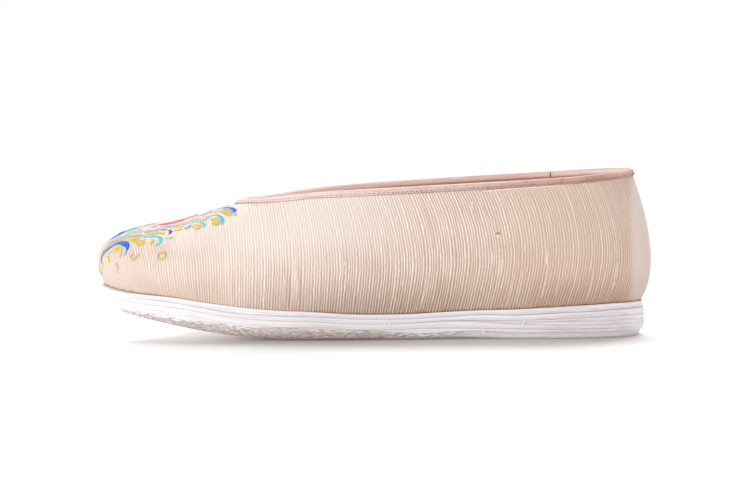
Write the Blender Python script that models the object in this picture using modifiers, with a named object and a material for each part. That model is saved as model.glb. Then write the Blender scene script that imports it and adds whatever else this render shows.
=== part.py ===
"""Left cloth shoe: a hollow cloth upper with a bound collar on a stitched sole of bound cloth layers.

X runs from the heel to the toe, Y to the wearer's left, which is the shoe's outer side, and Z up.
The floor is Z = 0. Every closed curve starts at the back of the heel, runs along the outer side to
the toe and comes back along the inner side.
"""

from collections import namedtuple

import bpy
import numpy as np

MM = 0.001

# Driving sizes
SOLE_LENGTH = 246 * MM
BALL_WIDTH = 82.5 * MM
BACK_HEIGHT = 73.8 * MM     # upper's edge above the floor at the back of the heel
THROAT_HEIGHT = 59.2 * MM   # upper's edge above the floor at the front of the opening
TOE_SWING = 4.5 * MM        # how far the toe leans towards the inner side
SWING_START = 0.45          # where that lean starts, as a share of the sole's length
WALL = 2.0 * MM             # outer cloth, paste and lining together
GAP = 0.3 * MM              # clearance between pieces that meet

# Sole: floor line
TOE_SPRING = 13.4 * MM
SPRING_START = 0.65
SPRING_POWER = 1.7
ARCH_LIFT = 0.7 * MM
ARCH_BACK, ARCH_FRONT = 0.22, 0.46

# Sole: thicknesses
LAYER_BACK, LAYER_FRONT = 0.08, 0.4   # between these a layer goes from its heel to its fore thickness
LIFT_BACK = 0.06                      # behind this a heel lift has its full thickness
LIFT_FRONT_EDGE = 0.2 * MM            # solid thickness where a lift is cut off
OUTSOLE = 3.0 * MM
FORE_EXTRA = 1.4 * MM                 # more outsole from the ball of the foot on
FORE_BACK, FORE_FRONT = 0.5, 0.64
TOE_SKIVE = 3.5 * MM                  # what is pared away from it towards the toe tip
SKIVE_START = 0.84

# Sole: edges
EDGE_ROUND = 0.7 * MM       # how far a bound edge draws in at its two corners
HEEL_ROLL = 2.5 * MM        # outsole's edge is rolled under by this much at the heel
FORE_ROLL = 8.5 * MM        # by this much under the ball
TOE_ROLL = 6.0 * MM         # and by this much at the toe
ROLL_BACK, ROLL_BALL, ROLL_TOE = 0.25, 0.7, 1.0
GROOVE = 0.5 * MM           # depth of the groove between the outsole's two ribs

FEATHER_INSET = 1.4 * MM    # upper's foot stands this far inside the sole's edge
INSOLE = 2.0 * MM
INSOLE_CLEARANCE = 0.5 * MM

BINDING_WIDTH = 2.0 * MM    # how far the binding reaches down from the upper's edge
TAPE = 0.8 * MM             # folded binding tape
BINDING_SHOULDER = 0.1 * MM
BINDING_CROWN = 0.3 * MM    # top of the rolled edge above the upper's edge, less gap and tape

STEPS_PER_SECTION = 5       # columns between two sections of the table below
WALL_ROWS = 12

# One row for each section from heel to toe. Lengths along are shares of SOLE_LENGTH, widths are
# shares of BALL_WIDTH on each side of the swung centre line, and the two rises, of the collar's outer
# and inner side, run from the throat's height at 0 to the back's height at 1. The wall leaves the sole
# outwards by swell and upwards by lift, and reaches the collar from reach outside it and drop below it.
Section = namedtuple(
    "Section", "along outer inner collar_along collar_side outer_rise inner_rise swell lift reach drop"
)
SECTIONS = (
    Section(0.000, 0.000, 0.000, 0.024, 0.000, 1.00, 1.00, 8.0 * MM, 12 * MM, 9.2 * MM, 24 * MM),
    Section(0.036, 0.252, 0.248, 0.053, 0.180, 0.94, 0.98, 7.6 * MM, 12 * MM, 8.2 * MM, 24 * MM),
    Section(0.116, 0.352, 0.345, 0.117, 0.282, 0.84, 0.90, 6.5 * MM, 13 * MM, 6.5 * MM, 23 * MM),
    Section(0.290, 0.394, 0.335, 0.287, 0.348, 0.66, 0.72, 5.5 * MM, 14 * MM, 5.5 * MM, 21 * MM),
    Section(0.493, 0.470, 0.397, 0.472, 0.360, 0.49, 0.52, 5.5 * MM, 14 * MM, 6.0 * MM, 20 * MM),
    Section(0.687, 0.523, 0.478, 0.615, 0.320, 0.33, 0.32, 5.5 * MM, 16 * MM, 9.5 * MM, 16 * MM),
    Section(0.849, 0.440, 0.452, 0.697, 0.220, 0.16, 0.13, 6.5 * MM, 17 * MM, 17.0 * MM, 14 * MM),
    Section(0.947, 0.318, 0.330, 0.735, 0.112, 0.08, 0.07, 9.5 * MM, 21.4 * MM, 31.4 * MM, 13.6 * MM),
    Section(1.000, 0.000, 0.000, 0.745, 0.000, 0.00, 0.00, 12.2 * MM, 28.5 * MM, 42.4 * MM, 13.4 * MM),
)

# The sole's stack from the floor up, with thicknesses in front and at the heel. front is where a heel
# lift comes to nothing, as a share of the sole's length, and inset is how far the layer's edge stays
# inside the sole's outline.
Layer = namedtuple("Layer", "name fore heel front inset")
STACK = (
    Layer("outsole", OUTSOLE, OUTSOLE, None, 1.4 * MM),
    Layer("sole_layer_1", 1.9 * MM, 1.5 * MM, None, 0.5 * MM),
    Layer("sole_layer_2", 2.5 * MM, 1.7 * MM, None, 0.0 * MM),
    Layer("heel_lift_1", 0.0 * MM, 1.8 * MM, 0.42, 0.0 * MM),
    Layer("heel_lift_2", 0.0 * MM, 2.1 * MM, 0.35, 0.0 * MM),
    Layer("sole_layer_3", 2.1 * MM, 2.7 * MM, None, 0.2 * MM),
    Layer("sole_layer_4", 2.1 * MM, 2.9 * MM, None, 0.8 * MM),
)

Look = namedtuple("Look", "colour roughness")
UPPER_CLOTH = Look((0.80, 0.66, 0.56), 0.85)
BINDING_CLOTH = Look((0.70, 0.50, 0.44), 0.8)
SOLE_CLOTH = Look((0.83, 0.81, 0.83), 0.9)
OUTSOLE_CLOTH = Look((0.60, 0.55, 0.54), 0.95)
INSOLE_CLOTH = Look((0.80, 0.74, 0.66), 0.9)


def ramp(share, start, end):
    """Smooth rise from 0 at start to 1 at end."""
    u = np.clip((share - start) / (end - start), 0, 1)
    return u * u * (3 - 2 * u)


def hump(share, start, end):
    """Smooth hill, 0 at start and end and 1 half way."""
    return np.sin(np.pi * np.clip((share - start) / (end - start), 0, 1)) ** 2


def around(outer, inner):
    """One closed column: the outer side from heel to toe, then the inner side back."""
    return np.concatenate([outer, inner[-2:0:-1]])


def closed_spline(values, spacing, steps):
    """Smooth closed curve through values, whose rows lie spacing apart, with steps points to a row.

    It solves for the second derivatives of a periodic cubic spline and evaluates each stretch.
    """
    count = len(values)
    before = np.roll(spacing, 1)
    slope = (np.roll(values, -1, axis=0) - values) / spacing[:, None]
    system = np.diag(2 * (before + spacing))
    rows = np.arange(count)
    system[rows, (rows + 1) % count] += spacing
    system[rows, (rows - 1) % count] += before
    bend = np.linalg.solve(system, 6 * (slope - np.roll(slope, 1, axis=0)))
    u = (np.arange(steps) / steps)[None, :, None]
    left, right = values[:, None], np.roll(values, -1, axis=0)[:, None]
    bend_left, bend_right = bend[:, None], np.roll(bend, -1, axis=0)[:, None]
    sag = ((1 - u) ** 3 - (1 - u)) * bend_left + (u**3 - u) * bend_right
    curve = (1 - u) * left + u * right + sag * spacing[:, None, None] ** 2 / 6
    return curve.reshape(count * steps, -1)


def outward(plan):
    """Unit normals in plan of a closed curve that runs clockwise seen from above."""
    along = np.roll(plan, -1, axis=0) - np.roll(plan, 1, axis=0)
    normal = np.stack([-along[:, 1], along[:, 0]], axis=1)
    return normal / np.linalg.norm(normal, axis=1)[:, None]


def share_of(x):
    """Place along the sole as a share of its length, 0 at the heel."""
    return x / SOLE_LENGTH + 0.5


def section_curves():
    """The table's columns as smooth closed curves: sole outline, collar line and the wall's four handles."""
    table = {name: np.array([getattr(row, name) for row in SECTIONS]) for name in Section._fields}
    along = around(table["along"], table["along"])
    side = around(table["outer"], -table["inner"]) * BALL_WIDTH
    collar_along = around(table["collar_along"], table["collar_along"])
    collar_side = around(table["collar_side"], -table["collar_side"]) * BALL_WIDTH
    rise = around(table["outer_rise"], table["inner_rise"])
    handles = [around(table[name], table[name]) for name in ("swell", "lift", "reach", "drop")]
    rows = np.stack(
        [
            (along - 0.5) * SOLE_LENGTH,
            side - swing(along),
            (collar_along - 0.5) * SOLE_LENGTH,
            collar_side - swing(collar_along),
            THROAT_HEIGHT + rise * (BACK_HEIGHT - THROAT_HEIGHT),
            *handles,
        ],
        axis=1,
    )
    spacing = np.linalg.norm(np.roll(rows[:, :2], -1, axis=0) - rows[:, :2], axis=1)
    curves = closed_spline(rows, spacing, STEPS_PER_SECTION)
    return curves[:, 0:2], curves[:, 2:5], curves[:, 5:9]


def swing(share):
    """How far the centre line has moved towards the inner side."""
    return TOE_SWING * np.clip((share - SWING_START) / (1 - SWING_START), 0, 1) ** 1.5


def floor_line(share):
    """Height of the sole's underside: flat at heel and ball, lifted in the arch and at the toe."""
    toe = np.clip((share - SPRING_START) / (1 - SPRING_START), 0, None) ** SPRING_POWER
    return TOE_SPRING * toe + ARCH_LIFT * hump(share, ARCH_BACK, ARCH_FRONT)


def thickness(layer, share):
    """Thickness of one layer of the stack, its joint gap included."""
    if layer.front is not None:
        return layer.heel * np.clip((layer.front - share) / (layer.front - LIFT_BACK), 0, 1)
    if layer.name == "outsole":
        pared = TOE_SKIVE * ramp(share, SKIVE_START, 1)
        return layer.fore + FORE_EXTRA * ramp(share, FORE_BACK, FORE_FRONT) - pared
    return layer.heel + (layer.fore - layer.heel) * ramp(share, LAYER_BACK, LAYER_FRONT)


def joint_height(share, layers):
    """Height of the joint above the given number of layers."""
    return floor_line(share) + sum(thickness(layer, share) for layer in STACK[:layers])


def sole_top(share):
    return joint_height(share, len(STACK))


def wall_grid(outline, collar, handles, rows):
    """Outer face of the upper: one Bezier curve per column from the sole up to the collar.

    rows holds, for each column, the curve parameters from 0 at the sole to 1 at the collar.
    """
    swell, lift, reach, drop = handles.T
    foot_plan = draw_in(outline, FEATHER_INSET)
    foot_height = sole_top(share_of(foot_plan[:, 0])) + GAP
    foot = np.column_stack([foot_plan, foot_height])
    rising = np.column_stack([outward(foot_plan) * swell[:, None], lift])
    falling = np.column_stack([outward(collar[:, :2]) * reach[:, None], -drop])
    t = rows[:, :, None]
    corners = [corner[:, None] for corner in (foot, foot + rising, collar + falling, collar)]
    weights = ((1 - t) ** 3, 3 * t * (1 - t) ** 2, 3 * t**2 * (1 - t), t**3)
    return sum(weight * corner for weight, corner in zip(weights, corners))


def face_normals(grid):
    """Outward unit normals of a grid of columns, closed round the shoe."""
    round_shoe = np.roll(grid, -1, axis=0) - np.roll(grid, 1, axis=0)
    upwards = np.gradient(grid, axis=1)
    normal = np.cross(upwards, round_shoe)
    return normal / np.linalg.norm(normal, axis=2)[:, :, None]


def binding_strip(outline, collar, handles):
    """Inner face of the collar binding: up the outer wall, over the edge and down the lining."""
    fine = np.linspace(0.7, 1, 61)
    near_edge = wall_grid(outline, collar, handles, np.tile(fine, (len(outline), 1)))
    steps = np.linalg.norm(np.diff(near_edge, axis=1), axis=2)
    below_edge = np.cumsum(steps[:, ::-1], axis=1)[:, ::-1]
    low = np.array([np.interp(-BINDING_WIDTH, -column, fine[:-1]) for column in below_edge])
    rows = np.stack([low, (low + 1) / 2, np.ones_like(low)], axis=1)
    wall = wall_grid(outline, collar, handles, rows)
    normal = face_normals(wall)
    edge, out = wall[:, 2], normal[:, 2]
    up = wall[:, 2] - wall[:, 1]
    up /= np.linalg.norm(up, axis=1)[:, None]
    shoulder = up * (GAP + BINDING_SHOULDER)
    return np.stack(
        [
            wall[:, 0] + normal[:, 0] * GAP,
            edge + out * GAP,
            edge + shoulder,
            edge - out * WALL / 2 + up * (GAP + BINDING_CROWN),
            edge - out * WALL + shoulder,
            edge - out * (WALL + GAP),
            wall[:, 0] - normal[:, 0] * (WALL + GAP),
        ],
        axis=1,
    )


def layer_height(share, level, part_way):
    """Height inside one layer, from 0 at its underside to 1 at its top, with the joint gaps left free."""
    under = joint_height(share, level) + (GAP / 2 if level > 0 else 0)
    top = joint_height(share, level + 1) - (GAP / 2 if level < len(STACK) - 1 else 0)
    return under + (top - under) * part_way


def layer_rings(outline, level):
    """Edge of one sole layer as rings from its top to its underside, one point per column."""
    layer = STACK[level]
    profile = ((EDGE_ROUND, 1), (0, 0.7), (0, 0.3), (EDGE_ROUND, 0))
    if layer.name == "outsole":
        profile = outsole_profile(share_of(outline[:, 0]))
    rings = []
    for inset, part_way in profile:
        plan = draw_in(outline, layer.inset + inset)
        rings.append(np.column_stack([plan, layer_height(share_of(plan[:, 0]), level, part_way)]))
    return rings


def outsole_profile(share):
    """Edge of the outsole: a quarter ellipse from upright at the top to the floor, with one groove."""
    roll = HEEL_ROLL + (FORE_ROLL - HEEL_ROLL) * ramp(share, ROLL_BACK, ROLL_BALL)
    roll += (TOE_ROLL - FORE_ROLL) * ramp(share, ROLL_BALL, ROLL_TOE)
    rows = ((0, 0), (18, 0), (24, GROOVE), (30, 0), (50, 0), (70, 0), (90, 0))
    turns = [(np.radians(angle), groove) for angle, groove in rows]
    return [(groove + roll * (1 - np.cos(turn)), 1 - np.sin(turn)) for turn, groove in turns]


def draw_in(outline, inset):
    """The outline in plan, moved inside itself by inset."""
    return outline - outward(outline) * np.reshape(inset, (-1, 1))


def lift_columns(outline, layer):
    """Columns of the outline behind a heel lift's cut, heel first, outer side and then inner side."""
    share = share_of(outline[:, 0])
    enough = GAP + LIFT_FRONT_EDGE
    half = len(outline) // 2
    kept = np.count_nonzero(thickness(layer, share[:half]) > enough)
    return np.concatenate([np.arange(kept), np.arange(len(outline) - kept + 1, len(outline))])


def strip_mesh(name, grid):
    """Open band of quads, closed round the shoe, from a grid of columns by rows."""
    columns, rows = grid.shape[:2]
    index = np.arange(columns * rows).reshape(columns, rows)
    after = np.roll(index, -1, axis=0)
    quads = np.stack([index[:, :-1], index[:, 1:], after[:, 1:], after[:, :-1]], axis=2)
    mesh = bpy.data.meshes.new(name)
    mesh.from_pydata(grid.reshape(-1, 3).tolist(), [], quads.reshape(-1, 4).tolist())
    return mesh


def plate_mesh(name, rings):
    """Closed plate: its edge is a band through the rings, top and underside are ladders of faces
    whose rungs join each outer point to the inner point across from it."""
    count = len(rings[0])
    faces = []
    for level in range(len(rings) - 1):
        for i in range(count):
            j = (i + 1) % count
            upper, lower = level * count, (level + 1) * count
            faces.append((upper + i, upper + j, lower + j, lower + i))
    under = (len(rings) - 1) * count
    for i in range(count // 2):
        rung = sorted({i, i + 1, (count - i - 1) % count, (count - i) % count})
        faces.append(tuple(reversed(rung)))
        faces.append(tuple(under + i for i in rung))
    mesh = bpy.data.meshes.new(name)
    mesh.from_pydata(np.concatenate(rings).tolist(), [], faces)
    return mesh


def cloth_material(name, look):
    material = bpy.data.materials.new(name)
    material.use_nodes = True
    shader = material.node_tree.nodes["Principled BSDF"]
    shader.inputs["Base Color"].default_value = (*look.colour, 1)
    shader.inputs["Roughness"].default_value = look.roughness
    shader.inputs["Metallic"].default_value = 0
    material.diffuse_color = (*look.colour, 1)
    return material


def add_piece(mesh, material, shoe, parent):
    mesh.materials.append(material)
    mesh.shade_smooth()
    mesh.set_sharp_from_angle(angle=np.radians(40))
    piece = bpy.data.objects.new(mesh.name, mesh)
    piece.parent = parent
    shoe.objects.link(piece)
    return piece


def thicken(piece, thickness, side):
    """Turns an open sheet into a wall, inwards for side -1 and outwards for side 1."""
    solidify = piece.modifiers.new("wall", "SOLIDIFY")
    solidify.thickness = thickness
    solidify.offset = side
    solidify.use_even_offset = True


def build_upper(curves, material, shoe, parent):
    rows = np.tile(np.linspace(0, 1, WALL_ROWS + 1), (len(curves[0]), 1))
    upper = add_piece(strip_mesh("upper", wall_grid(*curves, rows)), material, shoe, parent)
    thicken(upper, WALL, -1)


def build_binding(curves, material, shoe, parent):
    mesh = strip_mesh("collar_binding", binding_strip(*curves))
    thicken(add_piece(mesh, material, shoe, parent), TAPE, 1)


def build_insole(outline, material, shoe, parent):
    plan = draw_in(outline, FEATHER_INSET + WALL + INSOLE_CLEARANCE)
    bed = sole_top(share_of(plan[:, 0])) + GAP
    rings = [np.column_stack([plan, bed + INSOLE]), np.column_stack([plan, bed])]
    add_piece(plate_mesh("insole", rings), material, shoe, parent)


def build_sole(outline, materials, shoe, parent):
    for level, layer in enumerate(STACK):
        rings = layer_rings(outline, level)
        if layer.front is not None:
            kept = lift_columns(outline, layer)
            rings = [points[kept] for points in rings]
        material = materials["outsole" if level == 0 else "sole"]
        add_piece(plate_mesh(layer.name, rings), material, shoe, parent)


def shoe_frame(curves):
    """Empty that carries every piece and puts the middle of the shoe's box over the origin."""
    rows = np.tile(np.linspace(0, 1, WALL_ROWS + 1), (len(curves[0]), 1))
    plan = np.concatenate([wall_grid(*curves, rows)[:, :, :2].reshape(-1, 2), curves[0]])
    middle = (plan.min(axis=0) + plan.max(axis=0)) / 2
    frame = bpy.data.objects.new("shoe_frame", None)
    frame.location = (-middle[0], -middle[1], 0)
    return frame


def main():
    for old in list(bpy.data.objects):
        bpy.data.objects.remove(old)
    shoe = bpy.data.collections.new("cloth_shoe")
    bpy.context.scene.collection.children.link(shoe)
    curves = section_curves()
    outline = curves[0]
    parent = shoe_frame(curves)
    shoe.objects.link(parent)
    sole_materials = {
        "sole": cloth_material("sole_cloth", SOLE_CLOTH),
        "outsole": cloth_material("outsole_cloth", OUTSOLE_CLOTH),
    }
    build_upper(curves, cloth_material("upper_cloth", UPPER_CLOTH), shoe, parent)
    build_binding(curves, cloth_material("binding_cloth", BINDING_CLOTH), shoe, parent)
    build_insole(outline, cloth_material("insole_cloth", INSOLE_CLOTH), shoe, parent)
    build_sole(outline, sole_materials, shoe, parent)


main()
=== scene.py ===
"""Looks of a left cloth shoe: ribbed slub cloth, pink bound collar, bound cloth sole, toe embroidery.

Every shape is worked out from the same sizes as the solids, in metres. X runs to the toe, Y to the
outer side and Z up. A place round the shoe is a section number s: 0 at the back of the heel, 8 at
the toe tip along the outer side, and on to 16 along the inner side back to the heel. A place up the
wall is the parameter t: 0 at the sole and 1 at the collar.
"""

from collections import namedtuple

import bpy
import numpy as np
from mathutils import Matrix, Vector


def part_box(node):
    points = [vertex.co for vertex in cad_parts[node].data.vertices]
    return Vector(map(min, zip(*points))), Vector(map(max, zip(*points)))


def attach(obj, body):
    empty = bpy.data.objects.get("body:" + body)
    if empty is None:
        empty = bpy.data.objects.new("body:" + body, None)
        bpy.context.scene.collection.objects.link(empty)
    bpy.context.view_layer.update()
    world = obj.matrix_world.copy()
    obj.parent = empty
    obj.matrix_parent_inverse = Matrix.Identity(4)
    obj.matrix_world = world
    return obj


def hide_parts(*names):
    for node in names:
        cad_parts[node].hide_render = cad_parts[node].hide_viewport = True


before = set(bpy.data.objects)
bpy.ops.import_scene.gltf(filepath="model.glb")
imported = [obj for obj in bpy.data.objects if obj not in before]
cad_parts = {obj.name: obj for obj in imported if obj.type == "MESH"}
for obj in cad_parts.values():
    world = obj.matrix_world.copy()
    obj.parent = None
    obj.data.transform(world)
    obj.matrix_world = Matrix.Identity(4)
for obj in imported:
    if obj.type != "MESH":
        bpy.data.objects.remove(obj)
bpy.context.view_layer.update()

MM = 0.001
TURN = 2 * np.pi

# Sizes of the last and the sole, as in the solids
SOLE_LENGTH = 246 * MM
BALL_WIDTH = 82.5 * MM
BACK_HEIGHT = 73.8 * MM
THROAT_HEIGHT = 59.2 * MM
TOE_SWING = 4.5 * MM
SWING_START = 0.45
WALL = 2.0 * MM
GAP = 0.3 * MM
TOE_SPRING = 13.4 * MM
SPRING_START = 0.65
SPRING_POWER = 1.7
ARCH_LIFT = 0.7 * MM
ARCH_BACK, ARCH_FRONT = 0.22, 0.46
LAYER_BACK, LAYER_FRONT = 0.08, 0.4
LIFT_BACK = 0.06
OUTSOLE = 3.0 * MM
FORE_EXTRA = 1.4 * MM
FORE_BACK, FORE_FRONT = 0.5, 0.64
TOE_SKIVE = 3.5 * MM
SKIVE_START = 0.84
HEEL_ROLL, FORE_ROLL, TOE_ROLL = 2.5 * MM, 8.5 * MM, 6.0 * MM
ROLL_BACK, ROLL_BALL, ROLL_TOE = 0.25, 0.7, 1.0
FEATHER_INSET = 1.4 * MM
INSOLE = 2.0 * MM
INSOLE_INSET = 3.9 * MM
BINDING_WIDTH = 2.0 * MM
TAPE = 0.8 * MM
CROWN = 1.4 * MM

# One row for each section from heel to toe, as in the solids
Section = namedtuple(
    "Section", "along outer inner collar_along collar_side outer_rise inner_rise swell lift reach drop"
)
SECTIONS = (
    Section(0.000, 0.000, 0.000, 0.024, 0.000, 1.00, 1.00, 8.0 * MM, 12 * MM, 9.2 * MM, 24 * MM),
    Section(0.036, 0.252, 0.248, 0.053, 0.180, 0.94, 0.98, 7.6 * MM, 12 * MM, 8.2 * MM, 24 * MM),
    Section(0.116, 0.352, 0.345, 0.117, 0.282, 0.84, 0.90, 6.5 * MM, 13 * MM, 6.5 * MM, 23 * MM),
    Section(0.290, 0.394, 0.335, 0.287, 0.348, 0.66, 0.72, 5.5 * MM, 14 * MM, 5.5 * MM, 21 * MM),
    Section(0.493, 0.470, 0.397, 0.472, 0.360, 0.49, 0.52, 5.5 * MM, 14 * MM, 6.0 * MM, 20 * MM),
    Section(0.687, 0.523, 0.478, 0.615, 0.320, 0.33, 0.32, 5.5 * MM, 16 * MM, 9.5 * MM, 16 * MM),
    Section(0.849, 0.440, 0.452, 0.697, 0.220, 0.16, 0.13, 6.5 * MM, 17 * MM, 17.0 * MM, 14 * MM),
    Section(0.947, 0.318, 0.330, 0.735, 0.112, 0.08, 0.07, 9.5 * MM, 21.4 * MM, 31.4 * MM, 13.6 * MM),
    Section(1.000, 0.000, 0.000, 0.745, 0.000, 0.00, 0.00, 12.2 * MM, 28.5 * MM, 42.4 * MM, 13.4 * MM),
)
ROUND = 2 * (len(SECTIONS) - 1)
TOE = ROUND / 2

Layer = namedtuple("Layer", "name fore heel front inset")
STACK = (
    Layer("outsole", OUTSOLE, OUTSOLE, None, 1.4 * MM),
    Layer("sole_layer_1", 1.9 * MM, 1.5 * MM, None, 0.5 * MM),
    Layer("sole_layer_2", 2.5 * MM, 1.7 * MM, None, 0.0 * MM),
    Layer("heel_lift_1", 0.0 * MM, 1.8 * MM, 0.42, 0.0 * MM),
    Layer("heel_lift_2", 0.0 * MM, 2.1 * MM, 0.35, 0.0 * MM),
    Layer("sole_layer_3", 2.1 * MM, 2.7 * MM, None, 0.2 * MM),
    Layer("sole_layer_4", 2.1 * MM, 2.9 * MM, None, 0.8 * MM),
)


# Shape of the last


def ramp(value, start, end):
    """Smooth rise from 0 at start to 1 at end."""
    u = np.clip((value - start) / (end - start), 0, 1)
    return u * u * (3 - 2 * u)


def hump(value, start, end):
    """Smooth hill: squared half sine, 0 at start and end and 1 half way."""
    return np.sin(np.pi * np.clip((value - start) / (end - start), 0, 1)) ** 2


def around(outer, inner):
    """One closed column of the table: the outer side from heel to toe, then the inner side back."""
    return np.concatenate([outer, inner[-2:0:-1]])


def swing(share):
    """How far the centre line has moved towards the inner side: a power of the way past its start."""
    return TOE_SWING * np.clip((share - SWING_START) / (1 - SWING_START), 0, 1) ** 1.5


def section_rows():
    """The table as one closed set of rows: outline x and y, collar x, y and z, and four handles."""
    table = {name: np.array([getattr(row, name) for row in SECTIONS]) for name in Section._fields}
    along = around(table["along"], table["along"])
    side = around(table["outer"], -table["inner"]) * BALL_WIDTH
    collar_along = around(table["collar_along"], table["collar_along"])
    collar_side = around(table["collar_side"], -table["collar_side"]) * BALL_WIDTH
    rise = around(table["outer_rise"], table["inner_rise"])
    handles = [around(table[name], table[name]) for name in ("swell", "lift", "reach", "drop")]
    collar_height = THROAT_HEIGHT + rise * (BACK_HEIGHT - THROAT_HEIGHT)
    columns = [
        (along - 0.5) * SOLE_LENGTH,
        side - swing(along),
        (collar_along - 0.5) * SOLE_LENGTH,
        collar_side - swing(collar_along),
        collar_height,
        *handles,
    ]
    return np.stack(columns, axis=1)


def spline_bends(values, spacing):
    """Second derivatives of the periodic cubic spline through values whose rows lie spacing apart."""
    count = len(values)
    before = np.roll(spacing, 1)
    slope = (np.roll(values, -1, axis=0) - values) / spacing[:, None]
    system = np.diag(2 * (before + spacing))
    rows = np.arange(count)
    system[rows, (rows + 1) % count] += spacing
    system[rows, (rows - 1) % count] += before
    return np.linalg.solve(system, 6 * (slope - np.roll(slope, 1, axis=0)))


ROWS = section_rows()
SPACING = np.linalg.norm(np.roll(ROWS[:, :2], -1, axis=0) - ROWS[:, :2], axis=1)
BENDS = spline_bends(ROWS, SPACING)
NEARBY = 1e-3


def row_at(s):
    """The table's nine values at any section numbers s, on the periodic cubic spline."""
    place = np.mod(s, ROUND)
    left = np.minimum(place.astype(int), ROUND - 1)
    right = (left + 1) % ROUND
    u = (place - left)[..., None]
    sag = ((1 - u) ** 3 - (1 - u)) * BENDS[left] + (u**3 - u) * BENDS[right]
    return (1 - u) * ROWS[left] + u * ROWS[right] + sag * SPACING[left][..., None] ** 2 / 6


def outline(s):
    """Sole's outline in plan."""
    return row_at(s)[..., :2]


def outward(curve, s):
    """Unit normals in plan of a closed curve: its direction turned a quarter turn to the outside."""
    along = curve(s + NEARBY) - curve(s - NEARBY)
    normal = np.stack([-along[..., 1], along[..., 0]], axis=-1)
    return normal / np.linalg.norm(normal, axis=-1, keepdims=True)


def drawn_in(s, inset):
    """Sole's outline in plan, moved inside itself by inset."""
    return outline(s) - outward(outline, s) * np.asarray(inset)[..., None]


def foot_line(s):
    """Plan of the line where the upper stands on the sole."""
    return drawn_in(s, FEATHER_INSET)


def share_of(x):
    """Place along the sole as a share of its length, 0 at the heel."""
    return x / SOLE_LENGTH + 0.5


def floor_line(share):
    """Height of the sole's underside: a power of the way past the ball, and an arch."""
    toe = np.clip((share - SPRING_START) / (1 - SPRING_START), 0, None) ** SPRING_POWER
    return TOE_SPRING * toe + ARCH_LIFT * hump(share, ARCH_BACK, ARCH_FRONT)


def thickness(layer, share):
    """Thickness of one layer: a wedge for a lift, thicker then pared for the outsole, else a smooth
    change from its heel thickness to its fore thickness."""
    if layer.front is not None:
        return layer.heel * np.clip((layer.front - share) / (layer.front - LIFT_BACK), 0, 1)
    if layer.name == "outsole":
        pared = TOE_SKIVE * ramp(share, SKIVE_START, 1)
        return layer.fore + FORE_EXTRA * ramp(share, FORE_BACK, FORE_FRONT) - pared
    return layer.heel + (layer.fore - layer.heel) * ramp(share, LAYER_BACK, LAYER_FRONT)


def joint_height(share, layers):
    """Height of the joint above the given number of layers: the floor line plus their thicknesses."""
    return floor_line(share) + sum(thickness(layer, share) for layer in STACK[:layers])


def sole_top(share):
    """Height of the whole stack's top."""
    return joint_height(share, len(STACK))


def upper_point(s, t):
    """Outer face of the upper: at each s a cubic Bezier curve in t from the sole, 0, to the collar, 1.

    Its first handle goes outwards by swell and up by lift, its second is reach outside the collar
    and drop below it.
    """
    row = row_at(s)
    plan = foot_line(s)
    foot = np.concatenate([plan, (sole_top(share_of(plan[..., 0])) + GAP)[..., None]], axis=-1)
    collar = row[..., 2:5]
    swell, lift, reach, drop = (row[..., i, None] for i in range(5, 9))
    rising = np.concatenate([outward(foot_line, s) * swell, lift], axis=-1)
    collar_plan = outward(lambda where: row_at(where)[..., 2:4], s)
    falling = np.concatenate([collar_plan * reach, -drop], axis=-1)
    t = np.asarray(t)[..., None]
    first, second = foot + rising, collar + falling
    start = (1 - t) ** 3 * foot + 3 * t * (1 - t) ** 2 * first
    return start + 3 * t**2 * (1 - t) * second + t**3 * collar


def unit(vectors):
    """Vectors brought to length 1."""
    return vectors / np.linalg.norm(vectors, axis=-1, keepdims=True)


def upper_normal(s, t):
    """Outward normals of the upper: cross product of its rise and its way round."""
    rise = upper_point(s, t + NEARBY) - upper_point(s, t - NEARBY)
    way = upper_point(s + NEARBY, t) - upper_point(s - NEARBY, t)
    return unit(np.cross(rise, way))


def ripple(place, length, shortest, longest, count, random):
    """Smooth random waves along a closed way of the given length, about 1 high: a sum of cosines."""
    waves = random.integers(int(length / longest), int(length / shortest) + 1, count)
    phases = random.uniform(0, TURN, count)
    turns = TURN * np.asarray(place)[..., None] * waves / ROUND + phases
    return np.cos(turns).sum(axis=-1) / np.sqrt(count)


def shift_to_frame():
    """How far the last's own frame lies from the row frame, from one solid that both have."""
    low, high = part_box("sole_layer_2")
    plan = outline(np.arange(0, ROUND, 0.2))
    middle = (plan.min(axis=0) + plan.max(axis=0)) / 2
    return np.array([(low[0] + high[0]) / 2 - middle[0], (low[1] + high[1]) / 2 - middle[1], 0])


SHIFT = shift_to_frame()


def new_collection(name):
    """A new collection in the scene."""
    made = bpy.data.collections.new(name)
    bpy.context.scene.collection.children.link(made)
    return made


SHOE = new_collection("shoe")
STAGE = new_collection("stage")


# Places read off the photograph

PICTURE_WIDTH, PICTURE_HEIGHT = 750, 480
CAMERA_DISTANCE = 1.6
CAMERA_ABOVE = np.radians(3.3)
CAMERA_TARGET = np.array([-0.24 * MM, 0.0, 42.56 * MM])
PIXEL = 0.4529 * MM
TO_CAMERA = np.array([0.0, np.cos(CAMERA_ABOVE), np.sin(CAMERA_ABOVE)])
CAMERA_PLACE = CAMERA_TARGET + CAMERA_DISTANCE * TO_CAMERA
CAMERA_RIGHT = np.array([-1.0, 0.0, 0.0])
CAMERA_UP = np.array([0.0, -np.sin(CAMERA_ABOVE), np.cos(CAMERA_ABOVE)])
SIDE_START, SIDE_END = 0.2, 9.2
S_STEP, T_STEP = 0.025, 0.0125


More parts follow.
